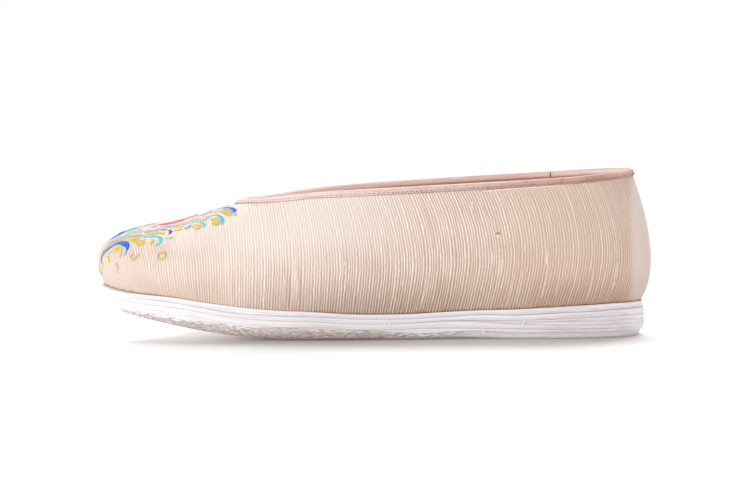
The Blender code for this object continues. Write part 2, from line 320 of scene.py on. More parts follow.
def in_picture(points):
    """Pixels of the photograph where points of the shoe show, by the camera's perspective."""
    seen = points + SHIFT - CAMERA_PLACE
    scale = CAMERA_DISTANCE / PIXEL / (seen @ -TO_CAMERA)
    x = PICTURE_WIDTH / 2 + seen @ CAMERA_RIGHT * scale
    y = PICTURE_HEIGHT / 2 - seen @ CAMERA_UP * scale
    return np.stack([x, y], axis=-1)


def side_places(pixels):
    """The s and t of the upper's outer side at pixels of the photograph: the nearest of a coarse grid
    of points that face the camera, then the nearest of a fine grid round that one."""
    wanted = np.asarray(pixels, dtype=float)
    s_coarse = np.linspace(SIDE_START, SIDE_END, round((SIDE_END - SIDE_START) / S_STEP) + 1)
    s, t = np.meshgrid(s_coarse, np.linspace(0, 1, round(1 / T_STEP) + 1), indexing="ij")
    points = upper_point(s, t)
    facing = ((CAMERA_PLACE - SHIFT - points) * upper_normal(s, t)).sum(axis=-1) > 0
    coarse = np.stack([s[facing], t[facing]], axis=-1)
    pictured = in_picture(points[facing])
    first = np.array([((pictured - pair) ** 2).sum(axis=-1).argmin() for pair in wanted])
    ds, dt = np.meshgrid(np.linspace(-S_STEP, S_STEP, 21), np.linspace(-T_STEP, T_STEP, 21))
    fine = coarse[first][:, None] + np.stack([ds.ravel(), dt.ravel()], axis=-1)[None]
    fine[..., 1] = np.clip(fine[..., 1], 0, 1)
    miss = ((in_picture(upper_point(fine[..., 0], fine[..., 1])) - wanted[:, None]) ** 2).sum(axis=-1)
    return fine[np.arange(len(wanted)), miss.argmin(axis=1)]


def smooth_path(knots, steps):
    """Catmull-Rom curve through the rows of knots, with the given number of points for each stretch."""
    before, after = 2 * knots[0] - knots[1], 2 * knots[-1] - knots[-2]
    p = np.concatenate([[before], knots, [after]])
    u = (np.arange(steps) / steps)[None, :, None]
    a, b, c, d = (p[i : len(p) - 3 + i, None] for i in range(4))
    bend = 2 * a - 5 * b + 4 * c - d
    curve = 0.5 * (2 * b + (c - a) * u + bend * u**2 + (3 * b - a - 3 * c + d) * u**3)
    return np.concatenate([curve.reshape(-1, knots.shape[1]), knots[-1:]])


# Meshes


def grid_faces(across, along, close_across, close_along):
    """Quads of a grid of points numbered row by row, wrapped round where it is closed."""
    index = np.arange(across * along).reshape(across, along)
    if close_across:
        index = np.concatenate([index, index[:1]], axis=0)
    if close_along:
        index = np.concatenate([index, index[:, :1]], axis=1)
    quads = [index[:-1, :-1], index[:-1, 1:], index[1:, 1:], index[1:, :-1]]
    return np.stack(quads, axis=-1).reshape(-1, 4)


def add_mesh(name, points, faces, materials, uv=None, material_index=None):
    """Adds one piece from points in the last's frame, with an optional UV value for each point."""
    mesh = bpy.data.meshes.new(name)
    moved = points.reshape(-1, 3) + SHIFT
    faces = faces.tolist() if isinstance(faces, np.ndarray) else faces
    mesh.from_pydata(moved.tolist(), [], faces)
    if uv is not None:
        corners = np.empty(len(mesh.loops), dtype=np.int32)
        mesh.loops.foreach_get("vertex_index", corners)
        layer = mesh.uv_layers.new(name="cloth")
        layer.data.foreach_set("uv", uv.reshape(-1, 2)[corners].astype(np.float32).ravel())
    for material in materials:
        mesh.materials.append(material)
    if material_index is not None:
        mesh.polygons.foreach_set("material_index", np.asarray(material_index, dtype=np.int32))
    mesh.shade_smooth()
    mesh.update()
    piece = bpy.data.objects.new(name, mesh)
    SHOE.objects.link(piece)
    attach(piece, "root")
    return piece


def capped_tube_faces(rings, sides):
    """Faces of a tube of rings numbered ring by ring, closed by fans to two poles numbered last."""
    faces = [tuple(quad) for quad in grid_faces(rings, sides, False, True).tolist()]
    first, last = rings * sides, rings * sides + 1
    end = (rings - 1) * sides
    for i in range(sides):
        j = (i + 1) % sides
        faces.append((first, j, i))
        faces.append((last, end + i, end + j))
    return faces


def bead_template(rings, sides):
    """A closed bead of unit half sizes: rings of a sphere between two poles, with its faces."""
    tilt = np.pi * (np.arange(1, rings + 1) / (rings + 1) - 0.5)
    turn = TURN * np.arange(sides) / sides
    body = np.stack(
        [
            np.repeat(np.sin(tilt)[:, None], sides, axis=1),
            np.cos(tilt)[:, None] * np.cos(turn)[None, :],
            np.cos(tilt)[:, None] * np.sin(turn)[None, :],
        ],
        axis=-1,
    ).reshape(-1, 3)
    points = np.concatenate([body, [[-1, 0, 0], [1, 0, 0]]])
    return points, capped_tube_faces(rings, sides)


def beads(centres, along, up, length, width, height, rings=3, sides=6):
    """Points and faces of many beads, such as stitches: one template stretched along, across and up."""
    template, faces = bead_template(rings, sides)
    across = np.cross(up, along)
    sizes = [np.broadcast_to(np.asarray(size), len(centres)) for size in (length, width, height)]
    points = centres[:, None] + sum(
        template[None, :, i, None] * (axis * size[:, None])[:, None]
        for i, (axis, size) in enumerate(zip((along, across, up), sizes))
    )
    offsets = np.arange(len(centres)) * len(template)
    every = [tuple(int(offset) + i for i in face) for offset in offsets for face in faces]
    return points, every


# Materials


def srgb(red, green, blue):
    """A colour read off as 0 to 255 values, as linear light."""
    share = np.array([red, green, blue]) / 255
    linear = np.where(share <= 0.04045, share / 12.92, ((share + 0.055) / 1.055) ** 2.4)
    return (*linear.tolist(), 1.0)


class Graph:
    """Adds nodes to one node tree and links them; a value may be a number, a colour or a socket."""

    def __init__(self, tree):
        self.tree = tree

    def add(self, kind, **settings):
        made = self.tree.nodes.new(kind)
        for name, value in settings.items():
            setattr(made, name, value)
        return made

    def feed(self, socket, value):
        if isinstance(value, bpy.types.NodeSocket):
            self.tree.links.new(value, socket)
        else:
            socket.default_value = value

    def math(self, operation, first, second=0.0):
        made = self.add("ShaderNodeMath", operation=operation)
        self.feed(made.inputs[0], first)
        self.feed(made.inputs[1], second)
        return made.outputs[0]

    def plus(self, first, second):
        return self.math("ADD", first, second)

    def times(self, first, second):
        return self.math("MULTIPLY", first, second)

    def away(self, value, centre):
        """How far a value is from a centre, either way."""
        return self.math("ABSOLUTE", self.math("SUBTRACT", value, centre))

    def centred(self, noise, full_swing):
        """Noise moved to lie about zero, with the given full swing."""
        return self.times(self.math("SUBTRACT", noise, 0.5), full_swing)

    def span(self, value, low, high, to_low=0.0, to_high=1.0, smooth=True):
        made = self.add("ShaderNodeMapRange", clamp=True)
        made.interpolation_type = "SMOOTHSTEP" if smooth else "LINEAR"
        for socket, entry in zip(made.inputs, (value, low, high, to_low, to_high)):
            self.feed(socket, entry)
        return made.outputs[0]

    def stretch(self, value, rise, fall, height=1.0):
        """A smooth hill over a value: from 0 up to height along rise, and back down along fall."""
        return self.times(self.span(value, *rise), self.span(value, *fall, height, 0.0))

    def blend(self, factor, first, second, mode="MIX"):
        made = self.add("ShaderNodeMix", data_type="RGBA", blend_type=mode)
        self.feed(made.inputs[0], factor)
        self.feed(made.inputs[6], first)
        self.feed(made.inputs[7], second)
        return made.outputs[2]

    def vector(self, x, y, z=0.0):
        made = self.add("ShaderNodeCombineXYZ")
        for socket, entry in zip(made.inputs, (x, y, z)):
            self.feed(socket, entry)
        return made.outputs[0]

    def parts(self, place):
        made = self.add("ShaderNodeSeparateXYZ")
        self.feed(made.inputs[0], place)
        return made.outputs

    def noise(self, place, scale=1.0, detail=2.0, rough=0.5):
        made = self.add("ShaderNodeTexNoise", noise_dimensions="3D")
        self.feed(made.inputs["Vector"], place)
        self.feed(made.inputs["Scale"], scale)
        self.feed(made.inputs["Detail"], detail)
        self.feed(made.inputs["Roughness"], rough)
        return made.outputs["Fac"]

    def stretched_noise(self, place, x_scale, y_scale, detail=2.0, rough=0.5):
        """Noise with its own scale along each of the two directions of a flat place."""
        x, y, _ = self.parts(place)
        flat = self.vector(self.times(x, x_scale), self.times(y, y_scale))
        return self.noise(flat, 1.0, detail, rough)

    def uv(self):
        return self.add("ShaderNodeUVMap", uv_map="cloth").outputs[0]

    def place(self):
        return self.add("ShaderNodeTexCoord").outputs["Object"]

    def group(self, tree, **inputs):
        made = self.add("ShaderNodeGroup", node_tree=tree)
        for name, value in inputs.items():
            self.feed(made.inputs[name], value)
        return made.outputs


def new_group(name, inputs, outputs):
    """An empty shader node group with vector and number inputs and number outputs."""
    tree = bpy.data.node_groups.new(name, "ShaderNodeTree")
    for socket, kind in inputs:
        tree.interface.new_socket(socket, in_out="INPUT", socket_type=kind)
    for socket in outputs:
        tree.interface.new_socket(socket, in_out="OUTPUT", socket_type="NodeSocketFloat")
    graph = Graph(tree)
    return tree, graph, graph.add("NodeGroupInput").outputs, graph.add("NodeGroupOutput").inputs


def slub_ribs_group():
    """Ribs of a slub cloth: a wandering, unevenly spaced row of narrow ridges, some bold and some
    faint, each thick and thin and broken along its length. Place is in millimetres across and along
    the ribs. Quiet fades all but the bold ones. Groove is the narrow gap between two of them."""
    inputs = (
        ("Place", "NodeSocketVector"),
        ("Pitch", "NodeSocketFloat"),
        ("Wander", "NodeSocketFloat"),
        ("Quiet", "NodeSocketFloat"),
    )
    tree, graph, given, wanted = new_group("slub_ribs", inputs, ("Ridge", "Groove"))
    across, along, _ = graph.parts(given["Place"])

    # Number of each rib, and how far a place is from its middle line, 0 to 1
    drift = graph.centred(graph.stretched_noise(given["Place"], 0.07, 0.04), given["Wander"])
    shake = graph.centred(graph.stretched_noise(given["Place"], 0.4, 0.25, 1.0), 0.6)
    across = graph.plus(across, graph.plus(drift, shake))
    uneven = graph.noise(graph.vector(graph.times(across, 0.33), 4.0), detail=0.0)
    count = graph.plus(graph.math("DIVIDE", across, given["Pitch"]), graph.centred(uneven, 0.8))
    number = graph.math("FLOOR", count)
    off_middle = graph.times(graph.away(graph.math("FRACT", count), 0.5), 2.0)

    # Each rib's own boldness, thickness and breaks
    own = graph.noise(graph.vector(graph.times(number, 7.37), 2.6), detail=0.0)
    bold = graph.span(own, 0.58, 0.76)
    slub_place = graph.vector(graph.times(number, 3.71), graph.times(along, 0.06))
    slub = graph.span(graph.noise(slub_place, detail=1.5), 0.28, 0.72)
    break_place = graph.vector(graph.times(number, 5.3), graph.times(along, 0.4), 7.0)
    broken = graph.span(graph.noise(break_place, detail=2.0), 0.34, 0.62, 0.64, 1.0)
    thick = graph.plus(graph.times(slub, 0.16), graph.times(bold, 0.12))

    # Ridge, dimmed where the cloth is quiet and flecked by the weft
    ridge = graph.span(off_middle, graph.plus(thick, 0.08), graph.plus(thick, 0.48), 1.0, 0.0)
    common = graph.times(graph.plus(graph.times(slub, 0.3), 0.8), broken)
    common = graph.times(common, graph.span(given["Quiet"], 0.0, 1.0, 1.0, 0.4, smooth=False))
    special = graph.times(bold, graph.span(given["Quiet"], 0.0, 1.0, 0.15, 0.6, smooth=False))
    ridge = graph.times(ridge, graph.plus(common, special))
    weft = graph.stretched_noise(given["Place"], 0.9, 1.7, 1.0)
    graph.feed(wanted["Ridge"], graph.times(ridge, graph.span(weft, 0.3, 0.7, 0.7, 1.0)))
    groove = graph.span(off_middle, 0.62, 0.95)
    graph.feed(wanted["Groove"], graph.times(groove, graph.span(broken, 0.64, 1.0, 0.5, 1.0)))
    return tree


def plain_weave_group():
    """Plain weave: two crossing rows of threads, with uneven threads. Place is in millimetres."""
    inputs = (("Place", "NodeSocketVector"), ("Pitch", "NodeSocketFloat"))
    tree, graph, given, wanted = new_group("plain_weave", inputs, ("Height", "Tone"))
    across, along, _ = graph.parts(given["Place"])
    pace = graph.math("DIVIDE", np.pi, given["Pitch"])
    first = graph.math("SINE", graph.times(across, pace))
    second = graph.math("SINE", graph.times(along, pace))
    crossing = graph.math("ABSOLUTE", graph.times(first, second))
    graph.feed(wanted["Height"], graph.plus(crossing, graph.noise(given["Place"], 0.8, 3.0)))
    graph.feed(wanted["Tone"], graph.noise(given["Place"], 0.12, 4.0))
    return tree


SLUB_RIBS = slub_ribs_group()
PLAIN_WEAVE = plain_weave_group()


def new_material(name, roughness, sheen=0.0, specular=0.2):
    """A cloth finish: its graph and its shader, with what is the same all over set on the shader."""
    material = bpy.data.materials.new(name)
    material.use_nodes = True
    graph = Graph(material.node_tree)
    shader = material.node_tree.nodes["Principled BSDF"]
    shader.inputs["Roughness"].default_value = roughness
    shader.inputs["Sheen Weight"].default_value = sheen
    shader.inputs["Sheen Roughness"].default_value = 0.4
    shader.inputs["Specular IOR Level"].default_value = specular
    return material, graph, shader


def dress(graph, shader, colour, height, depth):
    """Feeds the shader's colour, and its normal from a height with the relief's depth in metres."""
    graph.feed(shader.inputs["Base Color"], colour)
    made = graph.add("ShaderNodeBump")
    made.inputs["Strength"].default_value = 1.0
    made.inputs["Distance"].default_value = depth
    graph.feed(made.inputs["Height"], height)
    graph.feed(shader.inputs["Normal"], made.outputs[0])


# In the finishes x is a place along the shoe in metres, and the UV map is in millimetres


def ribbed_cloth():
    """Peach slub cloth: pale ridges on a tan ground, plainer at the toe and the back, with painted light in
    front and high up, and painted shade in the grooves, low down and at the sole.
    """
    material, graph, shader = new_material("ribbed_slub_cloth", 0.9, sheen=0.05)
    place = graph.uv()
    x = graph.parts(graph.place())[0]
    rise = graph.parts(place)[1]
    fibre = graph.stretched_noise(place, 1.3, 3.2, 2.0, 0.6)

    # Ribs, fainter towards the heel
    quiet = graph.span(x, -0.09, -0.03, 0.5, 0.0)
    ribs = graph.group(SLUB_RIBS, Place=place, Pitch=1.24, Wander=1.0, Quiet=quiet)

    # Ground between the ribs, paler in front as painted light, clouded, and darker in the grooves as painted
    # shade
    cloud = graph.noise(graph.place(), 45.0, 3.0)
    ground = graph.blend(graph.span(x, -0.03, 0.06), srgb(207, 180, 164), srgb(228, 208, 196))
    ground = graph.blend(graph.span(cloud, 0.35, 0.65, 0.0, 0.4), ground, srgb(196, 166, 148))
    groove = graph.times(ribs["Groove"], graph.span(x, 0.04, 0.075, 0.65, 0.3))
    ground = graph.blend(groove, ground, srgb(170, 138, 120))

    # Pale ridges, partly painted highlight and paler towards the toe as painted light, calmer at the toe,
    # with darker fibres
    pale = graph.blend(graph.span(x, -0.105, -0.02), srgb(243, 227, 215), srgb(255, 248, 242))
    ridge = graph.times(ribs["Ridge"], graph.span(x, 0.055, 0.085, 1.0, 0.72))
    ribbed = graph.blend(ridge, ground, pale)
    dark_fibre = graph.span(fibre, 0.45, 0.7, 0.0, 0.6)
    ribbed = graph.blend(dark_fibre, ribbed, srgb(234, 226, 220), "MULTIPLY")

    # Nearly plain cloth at the toe and at the back
    even = graph.blend(fibre, srgb(219, 201, 192), srgb(229, 213, 204))
    toe_cloth = graph.blend(graph.span(fibre, 0.35, 0.65), srgb(204, 184, 174), srgb(228, 212, 203))
    even = graph.blend(graph.span(x, 0.08, 0.1), even, toe_cloth)
    toe_way = graph.math("SUBTRACT", x, graph.times(rise, 1.1 * MM))
    ribs_shown = graph.span(toe_way, 0.084, 0.097, 1.0, 0.1)
    ribs_shown = graph.times(ribs_shown, graph.span(x, -0.117, -0.113, 0.15, 1.0))
    colour = graph.blend(ribs_shown, even, ribbed)

    # Painted highlight high up in front; painted shade low down, less over two stretches, and darkest at the
    # sole
    high = graph.times(graph.span(rise, 16.0, 38.0, 0.0, 0.46), graph.span(x, -0.04, 0.025, 0.25, 1.0))
    colour = graph.blend(high, colour, srgb(250, 241, 235))
    low = graph.times(graph.span(rise, 0.5, 20.0, 1.0, 0.0), graph.span(x, 0.0, 0.06, 1.0, 0.75))
    low = graph.times(low, graph.span(graph.away(x, -0.057), 0.005, 0.03, 0.65, 1.0))
    low = graph.times(low, graph.span(x, -0.12, -0.108, 0.65, 1.0))
    colour = graph.blend(low, colour, srgb(224, 219, 213), "MULTIPLY")
    # Painted shade where the cloth meets the sole
    colour = graph.blend(graph.span(rise, 0.2, 1.2, 0.6, 0.0), colour, srgb(216, 184, 162), "MULTIPLY")
    relief = graph.plus(graph.times(ribs["Ridge"], ribs_shown), graph.times(fibre, 0.3))
    dress(graph, shader, colour, relief, 0.12 * MM)
    return material


def weave_cloth(name, light, dark, pitch, depth):
    """Plain woven cotton in one colour with soft patches of a second."""
    material, graph, shader = new_material(name, 0.9, sheen=0.08)
    weave = graph.group(PLAIN_WEAVE, Place=graph.uv(), Pitch=pitch)
    colour = graph.blend(graph.span(weave["Tone"], 0.35, 0.65), light, dark)
    dress(graph, shader, colour, weave["Height"], depth)
    return material


def pink_tape():
    """Bias tape: plain weave, pale in front and darker towards the heel, partly as painted shade, darker
    along its lower hem, with stains, a painted highlight on the rim and painted shade down the inside. The
    second UV value runs across it from hem to hem over the rim."""
    material, graph, shader = new_material("pink_tape", 0.85, sheen=0.1)
    weave = graph.group(PLAIN_WEAVE, Place=graph.uv(), Pitch=0.4)
    x = graph.parts(graph.place())[0]
    way = graph.parts(graph.uv())[1]
    patches = graph.span(weave["Tone"], 0.35, 0.65)
    # Paler in front and darker towards the heel, partly painted shade
    front = graph.blend(patches, srgb(241, 224, 218), srgb(234, 214, 207))
    back = graph.blend(patches, srgb(200, 162, 151), srgb(190, 151, 140))
    back = graph.blend(graph.span(x, -0.113, -0.1), srgb(216, 190, 176), back)
    colour = graph.blend(graph.span(x, -0.1, 0.045, smooth=False), back, front)
    # Darker along the lower hem, towards the heel
    darker_hem = graph.times(graph.span(way, 0.5, 2.2, 0.6, 0.0), graph.span(x, -0.07, 0.0, 1.0, 0.1))
    colour = graph.blend(darker_hem, colour, srgb(226, 212, 206), "MULTIPLY")
    stain = graph.span(graph.stretched_noise(graph.uv(), 0.6, 0.8, 3.0, 0.6), 0.5, 0.66, 0.0, 0.45)
    stain = graph.times(stain, graph.span(x, -0.06, 0.06, 1.0, 0.35))
    colour = graph.blend(stain, colour, srgb(206, 182, 172), "MULTIPLY")
    # Painted highlight along the rolled rim, dimmer towards the heel
    pale = graph.blend(graph.span(x, -0.1, -0.05, smooth=False), srgb(222, 192, 182), srgb(246, 226, 219))
    colour = graph.blend(graph.stretch(way, (2.5, 3.3), (4.2, 5.0), 0.75), colour, pale)
    far = graph.blend(graph.span(x, -0.1, -0.06), srgb(240, 214, 206), srgb(224, 189, 179))
    colour = graph.blend(graph.span(way, 4.6, 6.6), colour, far)
    # Painted shade down the inside, darkest towards its lower edge
    colour = graph.blend(graph.span(way, 7.2, 8.6, 0.0, 0.9), colour, srgb(176, 128, 114))
    dress(graph, shader, colour, weave["Height"], 0.05 * MM)
    return material


STRIP_PITCH = 2.2


def white_strip():
    """Bound cotton edge: fine weave along the strip, paler along its top as painted highlight, with grey
    streaks, painted shade at its edges, along a faint fold in its middle towards the heel and over a stretch
    near the heel. The UV map counts the strips upwards."""
    material, graph, shader = new_material("white_strip", 0.9, sheen=0.05)
    place = graph.uv()
    x = graph.parts(graph.place())[0]
    part_way = graph.math("FRACT", graph.math("DIVIDE", graph.parts(place)[1], STRIP_PITCH))
    weave = graph.group(PLAIN_WEAVE, Place=place, Pitch=0.5)
    broad = graph.stretched_noise(place, 0.03, 0.5, 2.0)
    streak = graph.stretched_noise(place, 0.1, 1.9, 3.0, 0.6)
    colour = graph.blend(graph.span(broad, 0.35, 0.65), srgb(241, 238, 242), srgb(230, 226, 230))
    colour = graph.blend(graph.span(streak, 0.42, 0.68, 0.0, 0.7), colour, srgb(210, 204, 208))
    # Paler along each strip's top as painted highlight
    colour = graph.blend(graph.span(part_way, 0.5, 0.85, 0.0, 0.5), colour, srgb(248, 247, 250))
    # Painted shade along a faint fold in the middle of each strip, towards the heel
    fold_shade = graph.span(graph.away(part_way, 0.42), 0.02, 0.14, 0.7, 0.0)
    fold_shade = graph.times(fold_shade, graph.span(x, -0.03, 0.04, 1.0, 0.0))
    fold_shade = graph.times(fold_shade, graph.span(graph.stretched_noise(place, 0.03, 0.45), 0.42, 0.55))
    colour = graph.blend(fold_shade, colour, srgb(206, 201, 206))
    arch = graph.stretch(x, (-0.09, -0.05), (-0.01, 0.03), 0.45)
    colour = graph.blend(arch, colour, srgb(244, 244, 251))
    # Painted shade at the edges of each strip, in the joints, stronger towards the heel
    edge = graph.span(graph.away(part_way, 0.5), 0.38, 0.5, 0.0, 0.35)
    edge = graph.times(edge, graph.span(x, -0.05, 0.06, 1.0, 0.2))
    colour = graph.blend(edge, colour, srgb(188, 182, 187))
    # Painted shade: slightly greyer over a stretch near the heel
    heel_shade = graph.stretch(x, (-0.122, -0.1), (-0.095, -0.03), 0.7)
    colour = graph.blend(heel_shade, colour, srgb(246, 244, 245), "MULTIPLY")
    colour = graph.blend(graph.span(x, -0.119, -0.11, 0.5, 0.0), colour, srgb(248, 246, 250))
    colour = graph.blend(graph.span(x, 0.085, 0.1), colour, srgb(248, 249, 252), "MULTIPLY")
    dress(graph, shader, colour, weave["Height"], 0.03 * MM)
    return material


def grey_sole_cloth():
    """Outsole: nearly white bound rags at the heel, rough mottled grey fibre with dark flecks from the
    arch on, paler along its upper edge and at the toe's tip."""
    material, graph, shader = new_material("grey_sole_cloth", 0.95, sheen=0.05)
    place = graph.uv()
    x = graph.parts(graph.place())[0]
    fore = graph.span(x, -0.06, 0.0)
    fibre = graph.stretched_noise(place, 0.3, 1.0, 4.0, 0.62)
    fleck = graph.stretched_noise(place, 0.22, 0.85, 2.0, 0.6)
    mottle = graph.stretched_noise(place, 0.4, 0.9, 3.0, 0.55)
    upper_edge = graph.span(graph.parts(place)[1], 0.1, 1.9, 0.8, 0.0)
    grey = graph.blend(graph.span(mottle, 0.38, 0.6), srgb(234, 227, 228), srgb(198, 188, 187))
    ball = graph.stretch(x, (-0.02, 0.01), (0.035, 0.07), 0.35)
    grey = graph.blend(ball, grey, srgb(190, 170, 164))
    arch = graph.stretch(x, (-0.035, -0.015), (0.005, 0.025), 0.25)
    grey = graph.blend(arch, grey, srgb(186, 160, 152))
    grey = graph.blend(graph.span(fleck, 0.59, 0.7, 0.0, 0.75), grey, srgb(156, 136, 128))
    grey = graph.blend(graph.span(x, 0.05, 0.1, 0.0, 0.75), grey, srgb(184, 174, 176))
    grey = graph.blend(upper_edge, grey, srgb(236, 230, 232))
    grey = graph.blend(graph.span(x, 0.109, 0.119, 0.0, 0.85), grey, srgb(250, 248, 250))
    white = graph.blend(graph.span(fibre, 0.4, 0.7), srgb(232, 228, 231), srgb(218, 212, 214))
    relief = graph.times(fibre, graph.span(fore, 0.0, 1.0, 0.25, 1.0))
    dress(graph, shader, graph.blend(fore, white, grey), relief, 0.8 * MM)
    return material


def thread(name, light, dark, roughness=0.6, front=None):
    """Sewing thread: colour varied from stitch to stitch, with fine twisted plies. It may fade to
    another colour towards the front of the shoe."""
    material, graph, shader = new_material(name, roughness, sheen=0.1, specular=0.3)
    place = graph.place()
    colour = graph.blend(graph.noise(place, 400.0, 2.0), light, dark)
    if front is not None:
        colour = graph.blend(graph.span(graph.parts(place)[0], -0.02, 0.05), colour, front)
    dress(graph, shader, colour, graph.noise(place, 5000.0, 1.0), 0.05 * MM)
    return material


FLOSS_PITCH = 0.36


def satin_stitch(name, colour):
    """Embroidery floss in satin stitch: fine threads lying slantwise across the stroke, softly glossy."""
    material, graph, shader = new_material("floss_" + name, 0.42, specular=0.45)
    place = graph.uv()
    along, across, _ = graph.parts(place)
    slant = graph.plus(along, graph.times(across, 0.6))
    threads = graph.math("SINE", graph.times(slant, TURN / FLOSS_PITCH))
    uneven = graph.stretched_noise(place, 2.8, 0.4)
    darker = tuple(0.82 * channel for channel in colour[:3]) + (1.0,)
    tone = graph.span(graph.plus(graph.times(threads, 0.12), uneven), 0.3, 0.75)
    dress(graph, shader, graph.blend(tone, darker, colour), graph.plus(threads, uneven), 0.06 * MM)
    return material


RIBBED_CLOTH = ribbed_cloth()
LINING = weave_cloth("cream_lining", srgb(240, 224, 205), srgb(228, 208, 188), 0.45, 0.06 * MM)
PINK_TAPE = pink_tape()
WHITE_STRIP = white_strip()
GREY_CLOTH = grey_sole_cloth()
FOOTBED = weave_cloth("cream_footbed", srgb(236, 226, 210), srgb(222, 208, 190), 0.6, 0.06 * MM)
BROWN_THREAD = thread(
    "brown_pink_thread", srgb(168, 120, 112), srgb(140, 96, 90), front=srgb(206, 164, 154)
)
DARK_THREAD = thread("dark_brown_thread", srgb(126, 88, 76), srgb(104, 72, 62))
TAN_THREAD = thread("tan_thread", srgb(204, 166, 140), srgb(176, 136, 112))
CREAM_THREAD = thread("cream_thread", srgb(252, 242, 230), srgb(240, 222, 206))
PALE_YARN = thread("pale_yarn", srgb(234, 213, 198), srgb(218, 194, 178), 0.9)
WHITE_THREAD = thread("white_thread", srgb(252, 250, 253), srgb(242, 238, 242), 0.85)
HEMP_THREAD = thread("hemp_thread", srgb(240, 234, 232), srgb(200, 190, 186), 0.85)

FLOSS = {
    "blue": srgb(48, 130, 250),
    "navy": srgb(58, 82, 182),
    "violet": srgb(134, 122, 226),
    "turquoise": srgb(118, 236, 246),
    "pale_blue": srgb(176, 208, 238),
    "aqua": srgb(176, 236, 230),
    "lavender": srgb(208, 200, 236),
    "gold": srgb(250, 220, 108),
    "olive": srgb(232, 218, 150),
    "pale_gold": srgb(240, 222, 172),
    "yellow": srgb(244, 230, 120),
    "peach": srgb(250, 216, 186),
    "cream": srgb(248, 238, 230),
    "silver": srgb(188, 188, 198),
    "red": srgb(255, 100, 122),
    "pink": srgb(250, 176, 180),
}


# Upper


UPPER_STEPS = 56
UPPER_ROWS = 64
LINING_ROWS = 20
TOUCH = 0.03 * MM

# Values of t just below the collar's edge, and a step of s, for directions along the wall
NEAR_EDGE, BELOW_EDGE = 0.998, 0.99
STITCH_STEP = 0.02

# About how far it is round the wall, the collar, the sole's strips and the outsole
WALL_ROUND, COLLAR_ROUND, STRIP_ROUND, OUTSOLE_ROUND = 0.6, 0.42, 0.58, 0.56

# How far the cloth gathers at the sole and swells above it, and how near a crease changes it
GATHERS, SWELLS = 0.16 * MM, 0.12 * MM
CREASE_REACH = 8 * MM

# Pixels of the photograph on both sides of the sharpest crease, which gets more columns
CREASE_SIDES = ((302, 290), (286, 290))
CREASE_COLUMNS = 36

# Main creases of the outer side, as pixels of the photograph, half width and height in millimetres
Crease = namedtuple("Crease", "half_width height knots")
CREASES = (
    Crease(1.1, 0.22, ((416, 269), (428, 268.4), (438, 268), (452, 267.4))),
    Crease(1.8, -0.16, ((416, 272), (430, 271.6), (448, 271))),
    Crease(0.85, -0.75, ((291, 264), (290.6, 286), (291, 307))),
    Crease(0.9, 0.65, ((297.6, 256), (298, 284), (297.4, 307))),
    Crease(0.9, 0.6, ((229.5, 250), (230, 280), (234, 303))),
    Crease(2.2, -0.22, ((598, 292), (612, 288), (628, 287))),
    Crease(2.2, -0.2, ((604, 299), (622, 295), (638, 290))),
    Crease(3.0, 0.2, ((602, 284), (620, 281), (638, 280))),
)


def crease_relief(points):
    """Height of the listed creases at points: each a bell across its path, faded at its ends."""
    knots = np.concatenate([side_places(crease.knots) for crease in CREASES])
    counts = np.cumsum([0] + [len(crease.knots) for crease in CREASES])
    height = np.zeros(points.shape[:-1])
    for crease, start, end in zip(CREASES, counts[:-1], counts[1:]):
        path = smooth_path(knots[start:end], 12)
        centres = upper_point(path[:, 0], path[:, 1])
        strength = np.sin(np.linspace(0, np.pi, len(path))) ** 0.6
        near = np.abs(points[..., 0] - centres[:, 0].mean()) < np.ptp(centres[:, 0]) / 2 + CREASE_REACH
        near &= points[..., 1] > 0
        distance = np.linalg.norm(points[near][:, None] - centres[None], axis=-1)
        bells = strength * np.exp(-((distance / (crease.half_width * MM)) ** 2))
        height[near] += crease.height * MM * bells.max(axis=1)
    return height


def cloth_relief(s, t):
    """Soft unevenness of the cloth: broad swells, and small gathers where it is drawn in to the sole."""
    random = np.random.default_rng(11)
    gathers = ripple(s, WALL_ROUND, 0.006, 0.02, 24, random) * np.exp(-t / 0.05)
    swells = ripple(s, WALL_ROUND, 0.025, 0.12, 10, random) * hump(t, -0.1, 1.0)
    return GATHERS * gathers + SWELLS * swells


def cloth_point(s, t):
    """Outer cloth with its swells and gathers, for the threads that lie on it."""
    return upper_point(s, t) + upper_normal(s, t) * cloth_relief(s, t)[..., None]


# Ribs: x where they cross the shoe's length squarely, slopes of the wall's top behind and before the
# throat, and how far they lean at their top and foot in front, with what the back adds
RIBS_STRAIGHT = -0.06
COLLAR_SLOPE, VAMP_SLOPE = 0.084, 0.22
TOP_BOW, TOP_BOW_BACK = 3.5 * MM, 4.8 * MM
FOOT_BOW, FOOT_BOW_BACK = 1.0 * MM, 3.1 * MM
TOE_BOW = -0.115
BOW_MIDDLE, TOE_BOW_TOP = 0.4, 0.85


def way_across_ribs(points):
    """Metres across upright ribs: along the shoe in front, and round the heel behind."""
    x = points[..., 0]
    middle = points[:, points.shape[1] // 3]
    steps = np.linalg.norm(np.roll(middle, -1, axis=0) - middle, axis=1)
    half = len(middle) // 2
    outer = np.concatenate([[0], np.cumsum(steps[:half])])
    inner = np.concatenate([[0], np.cumsum(steps[half:][::-1])])
    way = np.concatenate([outer, inner[-2:0:-1]])
    zero_outer = np.interp(RIBS_STRAIGHT, middle[: half + 1, 0], outer)
    zero_inner = np.interp(RIBS_STRAIGHT, np.append(middle[half:, 0], middle[0, 0])[::-1], inner)
    heel = (RIBS_STRAIGHT + way - (zero_outer + zero_inner) / 2)[:, None] + 0 * x
    return heel + (x - heel) * ramp(x, -0.085, -0.045)


